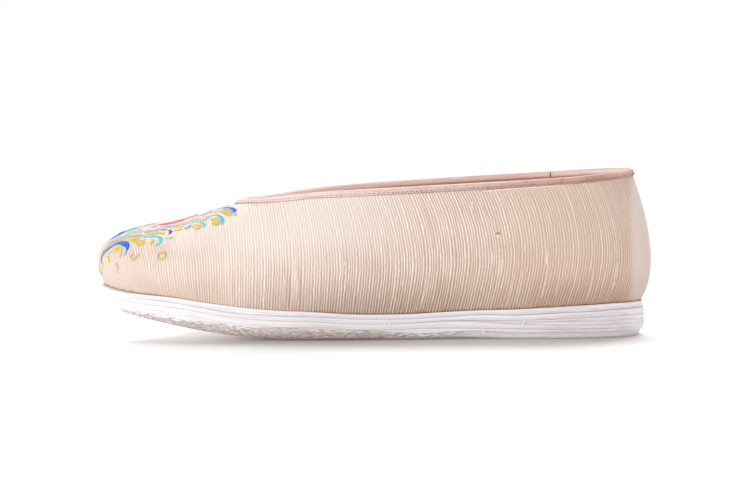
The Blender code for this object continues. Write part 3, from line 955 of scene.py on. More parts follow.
def rib_bow(points):
    """How far a rib leans to the toe, in metres: at its top and its foot, but at the toe back at its
    foot. Heights are shares of the wall, from the sole to a straight line through the throat."""
    x, z = points[..., 0], points[..., 2]
    foot = sole_top(share_of(x))
    throat = ROWS[int(TOE), 2]
    top = THROAT_HEIGHT - np.where(x < throat, COLLAR_SLOPE, VAMP_SLOPE) * (x - throat)
    height = np.clip((z - foot) / (top - foot), 0, 1)
    top_bow = TOP_BOW + TOP_BOW_BACK * ramp(-x, -0.06, 0.04)
    foot_bow = FOOT_BOW * ramp(-x, -0.065, -0.035) + FOOT_BOW_BACK * ramp(-x, -0.035, 0.04)
    toe_bow = TOE_BOW * np.clip(x - 0.06, 0, 0.045)
    bow = top_bow * np.clip((height - BOW_MIDDLE) / (1 - BOW_MIDDLE), 0, 1) ** 2
    bow += foot_bow * np.clip((BOW_MIDDLE - height) / BOW_MIDDLE, 0, 1) ** 1.5
    return bow + toe_bow * np.clip((TOE_BOW_TOP - height) / TOE_BOW_TOP, 0, 1) ** 1.5


def build_upper():
    """Outer cloth and lining as one closed wall, with more columns at the sharpest crease. The cloth
    is drawn down to touch the sole."""
    fine = np.linspace(*side_places(CREASE_SIDES)[:, 0], CREASE_COLUMNS)
    s = np.arange(ROUND * UPPER_STEPS) / UPPER_STEPS
    s = np.sort(np.concatenate([s, fine, ROUND - fine]))
    columns, rows = len(s), UPPER_ROWS + LINING_ROWS
    s_outer, t_outer = np.meshgrid(s, np.linspace(0, 1, UPPER_ROWS) ** 1.2, indexing="ij")
    smooth = upper_point(s_outer, t_outer)
    relief = cloth_relief(s_outer, t_outer) + crease_relief(smooth)
    outer = smooth + upper_normal(s_outer, t_outer) * relief[..., None]
    outer[..., 2] -= (GAP - TOUCH) * np.exp(-t_outer / 0.01)
    s_lining, t_lining = np.meshgrid(s, np.linspace(1, 0, LINING_ROWS), indexing="ij")
    lining = upper_point(s_lining, t_lining) - upper_normal(s_lining, t_lining) * WALL
    points = np.concatenate([outer, lining], axis=1)
    rise = np.cumsum(np.linalg.norm(np.diff(smooth, axis=1), axis=2), axis=1)
    rise = np.concatenate([np.zeros((columns, 1)), rise], axis=1)
    cloth_uv = np.stack([way_across_ribs(smooth) - rib_bow(smooth), rise], axis=-1) / MM
    lining_uv = np.stack([s_lining / ROUND * WALL_ROUND, lining[..., 2]], axis=-1) / MM
    uv = np.concatenate([cloth_uv, lining_uv], axis=1)
    faces = grid_faces(columns, rows, True, True)
    inside = np.tile(np.arange(rows) >= UPPER_ROWS - 1, columns)
    piece = add_mesh("upper_cloth", points, faces, [RIBBED_CLOTH, LINING], uv, inside)
    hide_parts("upper")


# Collar binding


BINDING_STEPS = 44
STITCH_ROW = 0.36
STITCH_PITCH = 2.1 * MM
TICK_PITCH = 1.35 * MM
JOIN_PIXEL = 551
TAPE_WRINKLE, BACK_WRINKLE = 0.12, 0.22
HEM_WANDER = 0.18 * MM

# Half lengths and half widths of the stitches and of the ticks of painted shadow under the tape, and where
# the topstitch lies in the tape's thickness
TOPSTITCH_LENGTH, TOPSTITCH_WIDTH, TOPSTITCH_DEPTH = 0.62 * MM, 0.2 * MM, 0.84
TICK_LENGTH, TICK_WIDTH, TICK_DROP = 0.4 * MM, 0.16 * MM, 0.1 * MM
JOIN_LENGTH, JOIN_WIDTH, JOIN_RISE = 1.5 * MM, 0.3 * MM, 0.4 * MM

# Profile of the tape: share of its width from the hem up, and share of its thickness there
OUTER_HEM, INNER_HEM = (0, 0.4), (0, 0.5)
TAPE_FACE = ((0.06, 0.85), (0.22, 0.95), (STITCH_ROW, 0.72), (0.5, 0.95), (0.75, 1.0), (1, 1.0))
ROLL_ANGLES = (22, 45, 68, 90, 112, 135, 158)
UNDER_TAPE, UNDER_ROLL = 0.1 * MM, 0.15 * MM


def binding_low(s):
    """Bezier parameter where the tape's lower edge lies: its width divided by the rise at the edge."""
    t = np.linspace(0.7, 1, 61)
    s_grid, t_grid = np.meshgrid(s, t, indexing="ij")
    steps = np.linalg.norm(np.diff(upper_point(s_grid, t_grid), axis=1), axis=2)
    below = np.cumsum(steps[:, ::-1], axis=1)[:, ::-1]
    return np.array([np.interp(-BINDING_WIDTH, -column, t[:-1]) for column in below])


def collar_edge(s):
    """The upper's top edge at s: its points, and its directions outwards and up along the wall."""
    edge = upper_point(s, np.ones_like(s))
    out = upper_normal(s, np.full_like(s, NEAR_EDGE))
    return edge, out, unit(edge - upper_point(s, np.full_like(s, BELOW_EDGE)))


def wall_way(s, t):
    """Unit directions round the upper's wall."""
    return unit(upper_point(s + STITCH_STEP, t) - upper_point(s - STITCH_STEP, t))


def build_binding():
    """The folded tape as a closed profile carried round the collar: outside face up, over the rolled
    edge, down the inside face, and back along its own underside."""
    random = np.random.default_rng(5)
    s = np.arange(ROUND * BINDING_STEPS) / BINDING_STEPS
    low = binding_low(s)
    edge, out, up = collar_edge(s)
    wrinkled = TAPE_WRINKLE + BACK_WRINKLE * ramp(np.cos(TURN * s / ROUND), 0.93, 0.985)
    bulge = 1 + wrinkled * ripple(s, COLLAR_ROUND, 0.006, 0.03, 14, random)
    hem = HEM_WANDER * ripple(s, COLLAR_ROUND, 0.01, 0.05, 10, random)[:, None] * up

    def face(share, height):
        t = low + (1 - low) * share
        wall = upper_point(s, t) + (1 - share) * hem
        return wall + upper_normal(s, np.minimum(t, NEAR_EDGE)) * (height + 0 * s)[:, None]

    points = []
    for share, lift in (OUTER_HEM, *TAPE_FACE):
        points.append(face(share, GAP / 2 + TAPE * lift * bulge))
    middle = edge - out * WALL / 2
    radius = (WALL / 2 + GAP / 2 + TAPE * bulge)[:, None]
    for angle in np.radians(ROLL_ANGLES):
        points.append(middle + out * radius * np.cos(angle) + up * CROWN * np.sin(angle))
    for share, lift in (*reversed(TAPE_FACE), INNER_HEM):
        points.append(face(share, -(WALL + GAP / 2 + TAPE * lift * bulge)))
    points.append(face(0, -(WALL + UNDER_TAPE)))
    points.append(face(1, -(WALL + UNDER_TAPE)))
    points.append(middle + up * UNDER_ROLL)
    points.append(face(1, UNDER_TAPE))
    points.append(face(0, UNDER_TAPE))
    grid = np.stack(points, axis=1)
    steps = np.linalg.norm(np.diff(grid, axis=1), axis=2).mean(axis=0)
    across = np.concatenate([[0], np.cumsum(steps)])
    round_way = s[:, None] / ROUND * COLLAR_ROUND
    uv = np.stack(np.broadcast_arrays(round_way, across[None, :]), axis=-1) / MM
    faces = grid_faces(len(s), grid.shape[1], True, True)
    piece = add_mesh("collar_tape", grid, faces, [PINK_TAPE], uv)
    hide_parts("collar_binding")


def even_places(curve_points, pitch):
    """Section numbers an even pitch apart along a closed curve sampled from 0 to the full round."""
    steps = np.linalg.norm(np.diff(curve_points, axis=0), axis=1)
    way = np.concatenate([[0], np.cumsum(steps)])
    count = int(round(way[-1] / pitch))
    return np.interp(np.arange(count) * way[-1] / count, way, np.linspace(0, ROUND, len(way)))


def collar_places(pitch):
    """Section numbers an even pitch apart round the collar."""
    fine = np.linspace(0, ROUND, 2001)
    return even_places(upper_point(fine, np.full_like(fine, 0.97)), pitch)


def build_topstitch():
    """Running stitches along the tape, outside and inside: slim beads lying in its sewn groove."""
    random = np.random.default_rng(8)
    s = collar_places(STITCH_PITCH)
    low = binding_low(s)
    t = low + (1 - low) * STITCH_ROW
    centre = upper_point(s, t)
    normal = upper_normal(s, t)
    along = wall_way(s, t)
    height = GAP / 2 + TAPE * TOPSTITCH_DEPTH
    centres = np.concatenate([centre + normal * height, centre - normal * (WALL + height)])
    ways = np.concatenate([along, along])
    ups = np.concatenate([normal, -normal])
    length = TOPSTITCH_LENGTH * random.uniform(0.8, 1.15, len(centres))
    points, faces = beads(centres, ways, ups, length, TOPSTITCH_WIDTH, TOPSTITCH_WIDTH)
    add_mesh("collar_topstitch", points, faces, [BROWN_THREAD])


def build_tape_join():
    """Where the tape's ends meet on the inner side: one short dark stitch up its inside face."""
    s = np.linspace(TOE + 0.5, ROUND - 0.5, 2000)
    shown = in_picture(upper_point(s, np.ones_like(s)))
    edge, out, up = collar_edge(s[[np.abs(shown[:, 0] - JOIN_PIXEL).argmin()]])
    centre = edge - out * (WALL + GAP / 2 + TAPE + UNDER_TAPE) + up * JOIN_RISE
    points, faces = beads(centre, up, -out, JOIN_LENGTH, JOIN_WIDTH, JOIN_WIDTH, 5, 8)
    add_mesh("tape_join", points, faces, [DARK_THREAD])


def build_edge_shadow_ticks():
    """Small brown beads just under the tape's lower edge, slightly uneven: painted shadow in the gaps
    between the ribs there.
    """
    random = np.random.default_rng(9)
    s = collar_places(TICK_PITCH)
    s = s + random.uniform(-0.006, 0.006, len(s))
    low = binding_low(s)
    rise = BINDING_WIDTH / (1 - low)
    t = low - TICK_DROP / rise
    centre = cloth_point(s, t)
    normal = upper_normal(s, t)
    along = wall_way(s, t)
    length = TICK_LENGTH * random.uniform(0.75, 1.2, len(s))
    points, faces = beads(centre + normal * 0.06 * MM, along, normal, length, TICK_WIDTH, TICK_WIDTH)
    add_mesh("edge_shadow_ticks", points, faces, [BROWN_THREAD])


# Embroidery


# Strokes of the outer side: thread, then pixels of the photograph with half widths in millimetres
SIDE_STROKES = (
    # outline of the motif, from the toe along the top edge
    (
        "blue", (110.7, 240.6, 0.5), (113.4, 238.3, 0.9), (117, 235.9, 1.2), (121, 233.7, 1.3),
        (125, 232, 1.0),
    ),
    ("turquoise", (119, 236.8, 0.3), (123.5, 234.6, 0.5), (127.5, 232.8, 0.5)),
    ("turquoise", (124, 232.1, 0.8), (128.2, 230.7, 1.4), (134.4, 228.9, 1.4), (138.5, 227.9, 0.7)),
    (
        "cream", (137, 227.7, 0.6), (141, 227, 0.9), (147, 225.8, 1.0), (154, 225.1, 0.8),
        (158.5, 225, 0.5),
    ),
    (
        "red", (159, 225.4, 0.6), (161.5, 224.7, 1.2), (170, 223.2, 1.6), (178, 221.4, 1.6),
        (184, 219.6, 1.3),
    ),
    ("pink", (183, 219.4, 1.2), (188, 217.9, 1.2), (193, 216.7, 0.9), (198, 215.4, 0.4)),
    ("lavender", (199, 216.4, 0.5), (203.3, 214.9, 0.8), (207, 213.2, 0.8), (211, 211.6, 0.5)),
    ("lavender", (209, 211.4, 0.5), (215, 209.8, 0.9), (221, 208.2, 0.9), (226, 207.7, 0.6)),
    # bands of the large wave at the toe
    (
        "cream", (107, 244.2, 0.5), (113, 239.9, 0.8), (121, 235.7, 1.0), (131, 231.6, 1.1),
        (143, 229.2, 1.1),
    ),
    (
        "pale_gold", (124, 235.3, 0.4), (131, 233.3, 0.7), (143, 231.2, 0.9), (152, 229.7, 0.9),
        (161, 228, 0.6),
    ),
    (
        "peach", (104.3, 249, 0.35), (108, 245.3, 0.5), (112.2, 242.2, 0.55), (121, 237.4, 0.55),
        (131, 234.7, 0.5),
    ),
    (
        "pale_blue", (105.3, 249.8, 0.3), (112.6, 243.6, 0.5), (121, 238.6, 0.55), (131, 235.9, 0.6),
        (139, 235.2, 0.7), (143.5, 235.6, 0.6),
    ),
    ("yellow", (106.4, 250.8, 0.3), (113, 245, 0.4), (119, 241, 0.45), (125, 239.4, 0.5)),
    ("pink", (150.5, 227.2, 0.4), (154, 226.7, 0.6), (158.5, 226.4, 0.4)),
    (
        "turquoise", (142, 236, 0.4), (146, 236.4, 0.5), (151, 236.4, 0.5), (156.5, 236.4, 0.5),
        (159.8, 237.4, 0.6), (161.2, 239.5, 0.7), (160, 242.4, 0.65), (157.2, 244.8, 0.6),
        (154, 246.3, 0.4),
    ),
    ("gold", (125.5, 239.6, 0.5), (130, 238.4, 0.9), (135, 238, 1.0), (139.6, 238.4, 0.6)),
    ("gold", (130.5, 240.4, 0.5), (133.6, 240.6, 0.7), (136, 242.4, 0.5)),
    ("gold", (136, 241.4, 0.6), (138.4, 242.4, 1.2), (138.6, 245.4, 0.8), (138.2, 247, 0.3)),
    ("gold", (140.6, 240.2, 0.6), (142.4, 241.8, 1.1), (143.2, 244, 0.8), (142.4, 245.8, 0.3)),
    ("gold", (154, 239.7, 0.6), (152.2, 241, 0.9), (151.2, 242.9, 0.9), (151, 245.2, 0.5)),
    ("gold", (144.5, 234.4, 0.4), (149, 233.7, 0.8), (155, 233.2, 1.0), (160, 233, 0.7)),
    ("gold", (159, 233.2, 0.5), (162.6, 232.7, 1.0), (163.4, 234.6, 0.6)),
    ("lavender", (144.6, 232.6, 0.5), (149, 231.4, 0.8), (154, 230.2, 0.9), (160, 230.2, 0.8)),
    ("silver", (159.5, 229.6, 0.5), (163, 229.3, 0.8), (167, 229.8, 0.6)),
    (
        "navy", (167.6, 230.6, 0.3), (170, 230.9, 0.5), (171, 231.9, 0.6), (169.8, 233.6, 0.5),
        (168.8, 234.8, 0.3),
    ),
    # blue wave and gold foam at the front
    (
        "blue", (102.4, 256.4, 0.4), (103.8, 253.6, 0.5), (106, 251, 0.55), (110, 247.9, 0.55),
        (114, 245.1, 0.6), (118.4, 243, 0.75), (122.2, 242.6, 1.0), (125.4, 243.6, 1.25),
        (127.4, 245.6, 1.05), (127.4, 248.4, 0.7), (126.4, 251.4, 0.4),
    ),
    ("pale_blue", (126.6, 250.6, 0.5), (125.3, 253.4, 0.7), (123.6, 256.2, 0.4)),
    ("violet", (103, 255, 0.4), (101.9, 257.6, 0.5), (101.8, 260.5, 0.45), (102.2, 264, 0.3)),
    (
        "gold", (113.8, 252.4, 0.5), (114.2, 249.6, 0.8), (116, 247.6, 1.0), (118.6, 246.8, 1.1),
        (120.8, 247.8, 0.7), (121.2, 251, 0.5), (120.4, 255, 0.5), (119.4, 258.4, 0.4),
    ),
    ("yellow", (115.2, 252.8, 0.4), (115.6, 250.4, 0.9), (117.4, 249, 0.6)),
    ("yellow", (107.2, 256, 0.6), (107.6, 258.6, 1.1), (108.4, 261.6, 0.9), (109.4, 263.6, 0.4)),
    ("gold", (108.2, 253.4, 0.3), (110, 252.4, 0.6), (112, 251.2, 0.3)),
    (
        "yellow", (105.5, 248.6, 0.4), (102.6, 252.4, 0.6), (100.6, 257, 0.7), (99.6, 261, 0.6),
        (99.3, 264, 0.4),
    ),
    ("silver", (99.4, 262.5, 0.4), (99.2, 266, 0.7), (99.5, 270, 0.7), (101, 274.6, 0.4)),
    ("yellow", (103.4, 262, 0.4), (102.8, 266, 0.6), (102.7, 271, 0.4)),
    ("lavender", (101, 271.6, 0.4), (102.6, 275.4, 0.5), (103.6, 279, 0.3)),
    # bands along the vamp
    (
        "peach", (172, 226, 0.5), (178, 224.6, 0.8), (185, 222.3, 0.9), (192, 220, 0.9),
        (199, 217.8, 0.5),
    ),
    ("aqua", (182, 225, 0.5), (188, 223.2, 0.9), (194, 221.6, 0.9), (200, 220, 0.6)),
    ("lavender", (161, 226.8, 0.4), (168, 226.6, 0.7), (175, 225.6, 0.6), (181, 224.6, 0.4)),
    ("yellow", (169, 228.6, 0.4), (173, 227.6, 0.6), (178, 226.7, 0.9), (184, 225.6, 0.5)),
    ("gold", (174, 230.3, 0.5), (178.4, 229.6, 1.1), (182.4, 229.6, 0.6)),
    ("silver", (184.4, 229.2, 0.5), (187.6, 227.6, 1.0), (191.6, 225.4, 0.6)),
    ("gold", (194, 228.4, 0.8), (196.2, 225.8, 1.2), (199, 226.2, 1.0), (200.6, 228.2, 0.5)),
    ("gold", (195, 229.2, 0.6), (197.4, 228.2, 1.1), (199.8, 229, 0.5)),
    (
        "turquoise", (197.5, 222.6, 0.3), (201, 222.7, 0.45), (204, 224.2, 0.6), (204.4, 226.2, 0.5),
        (203, 227.4, 0.3),
    ),
    ("lavender", (200, 221, 0.4), (206, 218.8, 0.6), (211, 217.2, 0.4)),
    ("pale_gold", (200.5, 221.8, 0.4), (205, 220.2, 0.7), (208.4, 219.6, 0.4)),
    # small foam rings
    (
        "olive", (158, 258.4, 0.35), (157.6, 255.6, 0.45), (160, 253.2, 0.5), (163.6, 252.6, 0.6),
        (165.5, 254, 0.6), (165, 256.8, 0.5), (162.8, 258.9, 0.45), (160, 259.5, 0.4),
        (158.2, 258.6, 0.3),
    ),
    (
        "olive", (131.2, 255.2, 0.35), (130.8, 258.2, 0.5), (133, 259.9, 0.55), (136, 258.6, 0.5),
        (137.6, 255.6, 0.5), (136.4, 253.2, 0.35),
    ),
    ("olive", (132, 253.4, 0.3), (133.8, 255.6, 0.4)),
    (
        "olive", (115, 267.6, 0.3), (115.2, 265.2, 0.4), (116.6, 264.8, 0.5), (117.6, 267, 0.5),
        (117.2, 270.8, 0.5), (116.2, 272.6, 0.4), (115.2, 270, 0.3),
    ),
    ("olive", (165.4, 239, 0.35), (168, 238.3, 0.5)),
    ("olive", (169.2, 237.2, 0.35), (170.6, 239.6, 0.45)),
    ("olive", (171.8, 236.6, 0.35), (173.2, 238.6, 0.45)),
    # waves below the throat
    (
        "blue", (224.4, 207.9, 0.4), (228, 207.8, 0.6), (231.6, 208.4, 0.75), (234.6, 210.3, 0.8),
        (234.6, 212.8, 0.5),
    ),
    ("lavender", (222, 208.9, 0.4), (226.5, 209.1, 0.6), (230.6, 210.6, 0.6), (233, 213.2, 0.4)),
    ("silver", (236.6, 213.2, 0.3), (235.6, 214.8, 0.5), (234.6, 216.4, 0.3)),
    ("peach", (206, 214.6, 0.4), (211, 213, 0.7), (217, 211.8, 0.7)),
    (
        "gold", (213, 213, 0.5), (218, 211.8, 0.9), (223, 211.2, 1.3), (227, 212.4, 1.5),
        (229.8, 214.2, 1.3), (229.2, 216.6, 0.7),
    ),
    ("pale_gold", (200, 218.6, 0.4), (206, 216.5, 0.6), (211, 215.6, 0.4)),
    (
        "turquoise", (207, 217, 0.3), (211.6, 215.7, 0.5), (216.4, 215.2, 0.6), (220.4, 216.4, 0.6),
        (222.8, 219.4, 0.55), (223.4, 222.4, 0.5), (221.8, 224.8, 0.3),
    ),
    ("pale_blue", (217.8, 217.2, 0.25), (220.2, 219.2, 0.35), (221, 222.2, 0.35), (219.8, 224.4, 0.25)),
    (
        "gold", (211.6, 221, 0.6), (213.6, 219.2, 1.1), (215.6, 221, 1.1), (217.2, 223.4, 0.9),
        (217.4, 226, 0.4),
    ),
    ("yellow", (212.4, 222, 0.5), (214.6, 223.6, 0.9), (216.2, 225.8, 0.6)),
)
STROKE_WIDEN = 1.2
STROKE_TOP = 0.985
FLOSS_TAPER = 0.9 * MM
FLOSS_LIFT = 0.06 * MM
FLOSS_CROWN = 0.26 * MM


def pixel_paths(lines):
    """A smooth path of s, t and half width through the given pixels of each line."""
    knots = [np.array(line, dtype=float) for line in lines]
    every = np.concatenate(knots)
    every[:, :2] = side_places(every[:, :2])
    ends = np.cumsum([len(line) for line in knots])
    return [smooth_path(every[end - len(line) : end], 6) for line, end in zip(knots, ends)]


def stroke_ribbon(path, sides=8):
    """One satin stroke: a low closed ridge along the path, its section a flattened ellipse as wide as
    the stroke, drawn to a point at both ends."""
    s, t = path[:, 0], np.minimum(path[:, 1], STROKE_TOP)
    centre = cloth_point(s, t)
    normal = upper_normal(s, t)
    along = unit(np.gradient(centre, axis=0))
    across = np.cross(normal, along)
    steps = np.linalg.norm(np.diff(centre, axis=0), axis=1)
    way = np.concatenate([[0], np.cumsum(steps)])
    taper = np.clip(np.minimum(way, way[-1] - way) / FLOSS_TAPER, 0, 1)
    half = STROKE_WIDEN * path[:, 2] * MM * (0.35 + 0.65 * np.sqrt(taper))
    crown = np.minimum(0.4 * half, FLOSS_CROWN)
    turn = TURN * np.arange(sides) / sides
    up = np.where(np.sin(turn) > 0, np.sin(turn), 0.35 * np.sin(turn))
    side = half[:, None] * np.cos(turn)
    body = centre[:, None] + across[:, None] * side[..., None]
    body = body + normal[:, None] * (crown[:, None] * up + FLOSS_LIFT)[..., None]
    ends = [0, -1]
    past = along[ends] * np.array([[-0.5], [0.5]]) * half[ends, None]
    tips = centre[ends] + past + normal[ends] * FLOSS_LIFT
    points = np.concatenate([body.reshape(-1, 3), tips])
    body_uv = np.stack([np.repeat(way[:, None], sides, axis=1), side], axis=-1)
    tips_uv = np.array([[way[0], 0], [way[-1], 0]])
    uv = np.concatenate([body_uv.reshape(-1, 2), tips_uv]) / MM
    return points, capped_tube_faces(len(path), sides), uv


def ribbons(paths):
    """Points, faces and UV values of all strokes together, and how many faces each has."""
    points, faces, uvs, counts = [], [], [], []
    offset = 0
    for path in paths:
        body, body_faces, uv = stroke_ribbon(path)
        points.append(body)
        uvs.append(uv)
        faces += [tuple(offset + corner for corner in face) for face in body_faces]
        counts.append(len(body_faces))
        offset += len(body)
    return np.concatenate(points), faces, np.concatenate(uvs), counts


def build_embroidery():
    """All strokes as one piece, with one floss for each colour. The inner side has the mirror image
    of the outer side's strokes."""
    outer = pixel_paths([stroke[1:] for stroke in SIDE_STROKES])
    inner = [path * [-1, 1, 1] + [ROUND, 0, 0] for path in outer]
    points, faces, uv, counts = ribbons(outer + inner)
    flosses = list(FLOSS)
    colours = np.repeat([flosses.index(stroke[0]) for stroke in SIDE_STROKES * 2], counts)
    materials = [satin_stitch(name, colour) for name, colour in FLOSS.items()]
    add_mesh("toe_embroidery", points, faces, materials, uv, colours)


# Hem of the cloth and thick yarns among the ribs: pixels of the photograph, half widths in millimetres
HEM_LINE = (
    (482, 191.4, 0.2), (502, 189.6, 0.24), (522, 188.1, 0.24),
    (542, 186.7, 0.24), (562, 185.0, 0.22), (572, 184.2, 0.18),
)
SLUB_LINES = (
    (
        (476, 193, 0.1), (484, 208, 0.14), (488, 225, 0.17), (491, 245, 0.2), (493.5, 264, 0.23),
        (491.8, 282, 0.36), (489, 295, 0.27), (486, 306, 0.14),
    ),
    (
        (541, 212, 0.1), (543.5, 228, 0.14), (546, 245, 0.22), (548, 263, 0.4), (546.6, 275, 0.29),
        (544.5, 286, 0.3), (541, 299, 0.14),
    ),
    ((502, 240, 0.1), (501.3, 262, 0.2), (500, 275, 0.24), (497, 292, 0.2), (494, 306, 0.12)),
    ((516, 258, 0.1), (515, 272, 0.19), (512.5, 285, 0.29), (509.5, 297, 0.22), (506, 306, 0.12)),
    ((523, 262, 0.1), (522, 278, 0.2), (519.5, 291, 0.26), (516, 304, 0.13)),
    ((592.6, 240, 0.1), (594, 260, 0.19), (592.5, 277, 0.24), (590, 289, 0.22), (585, 302, 0.1)),
    ((561.5, 260, 0.1), (559.4, 279, 0.19), (555, 296, 0.14)),
    ((613.5, 238, 0.09), (617, 260, 0.17), (616, 277, 0.2), (611, 292, 0.1)),
    ((420, 196, 0.1), (427, 214, 0.17), (432, 234, 0.14), (435, 250, 0.1)),
    ((428, 272, 0.1), (426.5, 286, 0.22), (423, 300, 0.19), (421, 309, 0.1)),
    ((284, 262, 0.1), (284.4, 284, 0.19), (284, 305, 0.14)),
    ((270, 258, 0.1), (268, 282, 0.2), (266.6, 304, 0.14)),
)


def build_hem_cord():
    """Edge of the turned-in cloth showing just under the tape on the outer side: one thin cord, its pale
    colour partly painted highlight.
    """
    points, faces, uv, _ = ribbons(pixel_paths([HEM_LINE]))
    add_mesh("hem_cord", points, faces, [CREAM_THREAD], uv)


def build_slub_lines():
    """Low ridges where thick yarns run up the outer side."""
    points, faces, uv, _ = ribbons(pixel_paths(SLUB_LINES))
    add_mesh("slub_yarns", points, faces, [PALE_YARN], uv)


# Short slubs: pixel of the photograph, then half length and half width in millimetres
SLUB_HEIGHT = 0.34 * MM
Slub = namedtuple("Slub", "x y crosswise length width")
SLUBS = (
    Slub(497.7, 233.4, True, 1.35, 0.48),
    Slub(494.2, 232.4, True, 0.7, 0.4),
    Slub(498.2, 236.2, False, 0.7, 0.4),
    Slub(547.0, 258.0, False, 3.2, 0.26),
    Slub(524.5, 247.0, False, 1.5, 0.25),
    Slub(472.0, 205.5, False, 1.6, 0.3),
    Slub(345.0, 262.0, False, 2.0, 0.26),
)


def build_slubs():
    """One brown slub across the ribs, then pale ones, most of them lying along the ribs."""
    place = side_places([(slub.x, slub.y) for slub in SLUBS])
    s, t = place[:, 0], place[:, 1]
    normal = upper_normal(s, t)
    rise = unit(upper_point(s, t + 0.01) - upper_point(s, t - 0.01))
    crosswise = np.array([[slub.crosswise] for slub in SLUBS])
    along = np.where(crosswise, np.cross(normal, rise), rise)
    length = np.array([slub.length for slub in SLUBS]) * MM
    width = np.array([slub.width for slub in SLUBS]) * MM
    centres = cloth_point(s, t) + normal * 0.1 * MM
    points, faces = beads(centres, along, normal, length, width, SLUB_HEIGHT, 5, 8)
    pale = np.arange(len(faces)) >= len(faces) // len(s)
    add_mesh("cloth_slubs", points, faces, [TAN_THREAD, CREAM_THREAD], None, pale)


# Sole


SOLE_STEPS = 40
CHAMFER_HEIGHT = 0.3 * MM
TOE_CHAMFER = 0.04 * MM
HEEL_CHAMFER = 0.2 * MM
LIFT_EDGE = 0.02 * MM
EDGE_WANDER = 0.05 * MM
EDGE_SWELL = 0.06 * MM
TOE_FLUSH = 0.1 * MM
TOE_BEVEL = 1.1 * MM
JOINT_WANDER, ARCH_WANDER = 0.1 * MM, 0.22 * MM
SOLE_LIP = 0.7 * MM
LAP_LIMIT = 1.5 * MM
TREAD_RIM = 1.5 * MM
TREAD_LIFT = 0.1 * MM
EDGE_ANGLES = (0, 6, 12, 18, 22, 27, 33, 40, 48, 58, 72, 90)
GROOVE_DEPTH, GROOVE_ANGLE, GROOVE_WIDTH = 0.3 * MM, 22, 5
LUMPS = 0.26 * MM
TREAD_PITCH, TREAD_ROWS, TREAD_MARGIN = 5.6, 4.4, 3.5 * MM
TREAD_LENGTH, TREAD_WIDTH, TREAD_HEIGHT = 1.7 * MM, 0.55 * MM, 0.2 * MM
INSOLE_STEPS = 12
INSOLE_EDGE = ((0.9, 1.0), (0.3, 0.9), (0.0, 0.6), (0.0, 0.0))

# How far the cloth pattern is moved from strip to strip, and its millimetres for each radian of the edge
STRIP_SHIFT = 37
EDGE_MM = 5

# Where loose fibres lie along the sole, as section numbers, and how many there are
TUFT_START, FRINGE_START, FIBRE_END = 3.2, 2.8, 7.0
TUFTS, FRINGES = 400, 300

# Frayed ends of binding strips, as pixels of the photograph
JOINT_TOPS = ((384.8, 320.4), (387.6, 319.8), (524.6, 319.2))
JOINT_FEET = ((385.2, 326.4), (391.2, 326.2), (522.0, 327.2))
JOINT_WIDTH = 0.36 * MM

# Upper edge of the rough outsole as pixels of the photograph, and the two where its lap runs out
OUTSOLE_EDGE = (
    (113, 304.5), (125, 308.5), (140, 312), (160, 315), (180, 319), (200, 321.4), (220, 322.8), (240, 326.4),
    (260, 328.6), (280, 327), (300, 327.8), (320, 328.6), (340, 329.2), (360, 330.4), (380, 331.4),
    (400, 332.4), (425, 334.4),
)
LAP_END, LAP_FULL = 440, 405


def plate_faces(count, rings):
    """Faces of a plate: bands between its rings, and ladders of faces across its top and underside
    that join each outer point to the inner point across from it. Points are numbered ring by ring."""
    faces = [tuple(quad) for quad in grid_faces(rings, count, False, True).tolist()]
    under = (rings - 1) * count
    for i in range(count // 2):
        rung = sorted({i, i + 1, (count - i - 1) % count, (count - i) % count})
        faces.append(tuple(reversed(rung)))
        faces.append(tuple(under + corner for corner in rung))
    return faces


def outsole_lap(share):
    """How far the outsole laps up over the lowest strip so that its edge shows at the listed pixels,
    the same on both sides, and nothing behind them."""
    s = np.linspace(2.5, 7.7, 300)
    plan = drawn_in(s, np.full_like(s, STACK[1].inset))
    along = share_of(plan[:, 0])
    shown = in_picture(np.column_stack([plan, joint_height(along, 1)]))
    wanted = np.interp(shown[:, 0], *np.transpose(OUTSOLE_EDGE))
    lap = np.clip((shown[:, 1] - wanted) * PIXEL, 0, LAP_LIMIT)
    return np.interp(share, along, lap * ramp(shown[:, 0], LAP_END, LAP_FULL))


def joint_wander(level, s):
    """How far the joint above a number of layers wanders up and down: smooth waves, higher in the
    arch. The outsole also laps up, and the topmost joint is only lifted to a lip round the ball.
    Above a lift the joint goes over into the one below as the lift runs out."""
    random = np.random.default_rng(60 + level)
    share = share_of(outline(s)[:, 0])
    size = JOINT_WANDER + ARCH_WANDER * hump(share, 0.16, 0.5)
    own = size * ripple(s, STRIP_ROUND, 0.025, 0.12, 10, random) * (0 < level < len(STACK))
    if level == 1:
        return own + outsole_lap(share)
    if level == len(STACK):
        return SOLE_LIP * hump(share, 0.55, 0.93)
    if level == 0 or STACK[level - 1].front is None:
        return own
    kept = ramp(thickness(STACK[level - 1], share), 0, 1.3 * MM)
    return kept * own + (1 - kept) * joint_wander(level - 1, s)


def add_plate(name, rings, uv, material):
    """Adds one plate from its rings of points, top to bottom, and their UV values."""
    faces = plate_faces(len(rings[0]), len(rings))
    return add_mesh(name, np.concatenate(rings), faces, [material], np.concatenate(uv))


def layer_places(layer):
    """Section numbers round one layer: all the way, or for a lift as far as it has any thickness."""
    s = np.arange(ROUND * SOLE_STEPS) / SOLE_STEPS
    if layer.front is None:
        return s
    share = share_of(outline(s[: len(s) // 2])[:, 0])
    kept = np.count_nonzero(thickness(layer, share) > LIFT_EDGE)
    return np.concatenate([s[:kept], s[len(s) - kept + 1 :]])


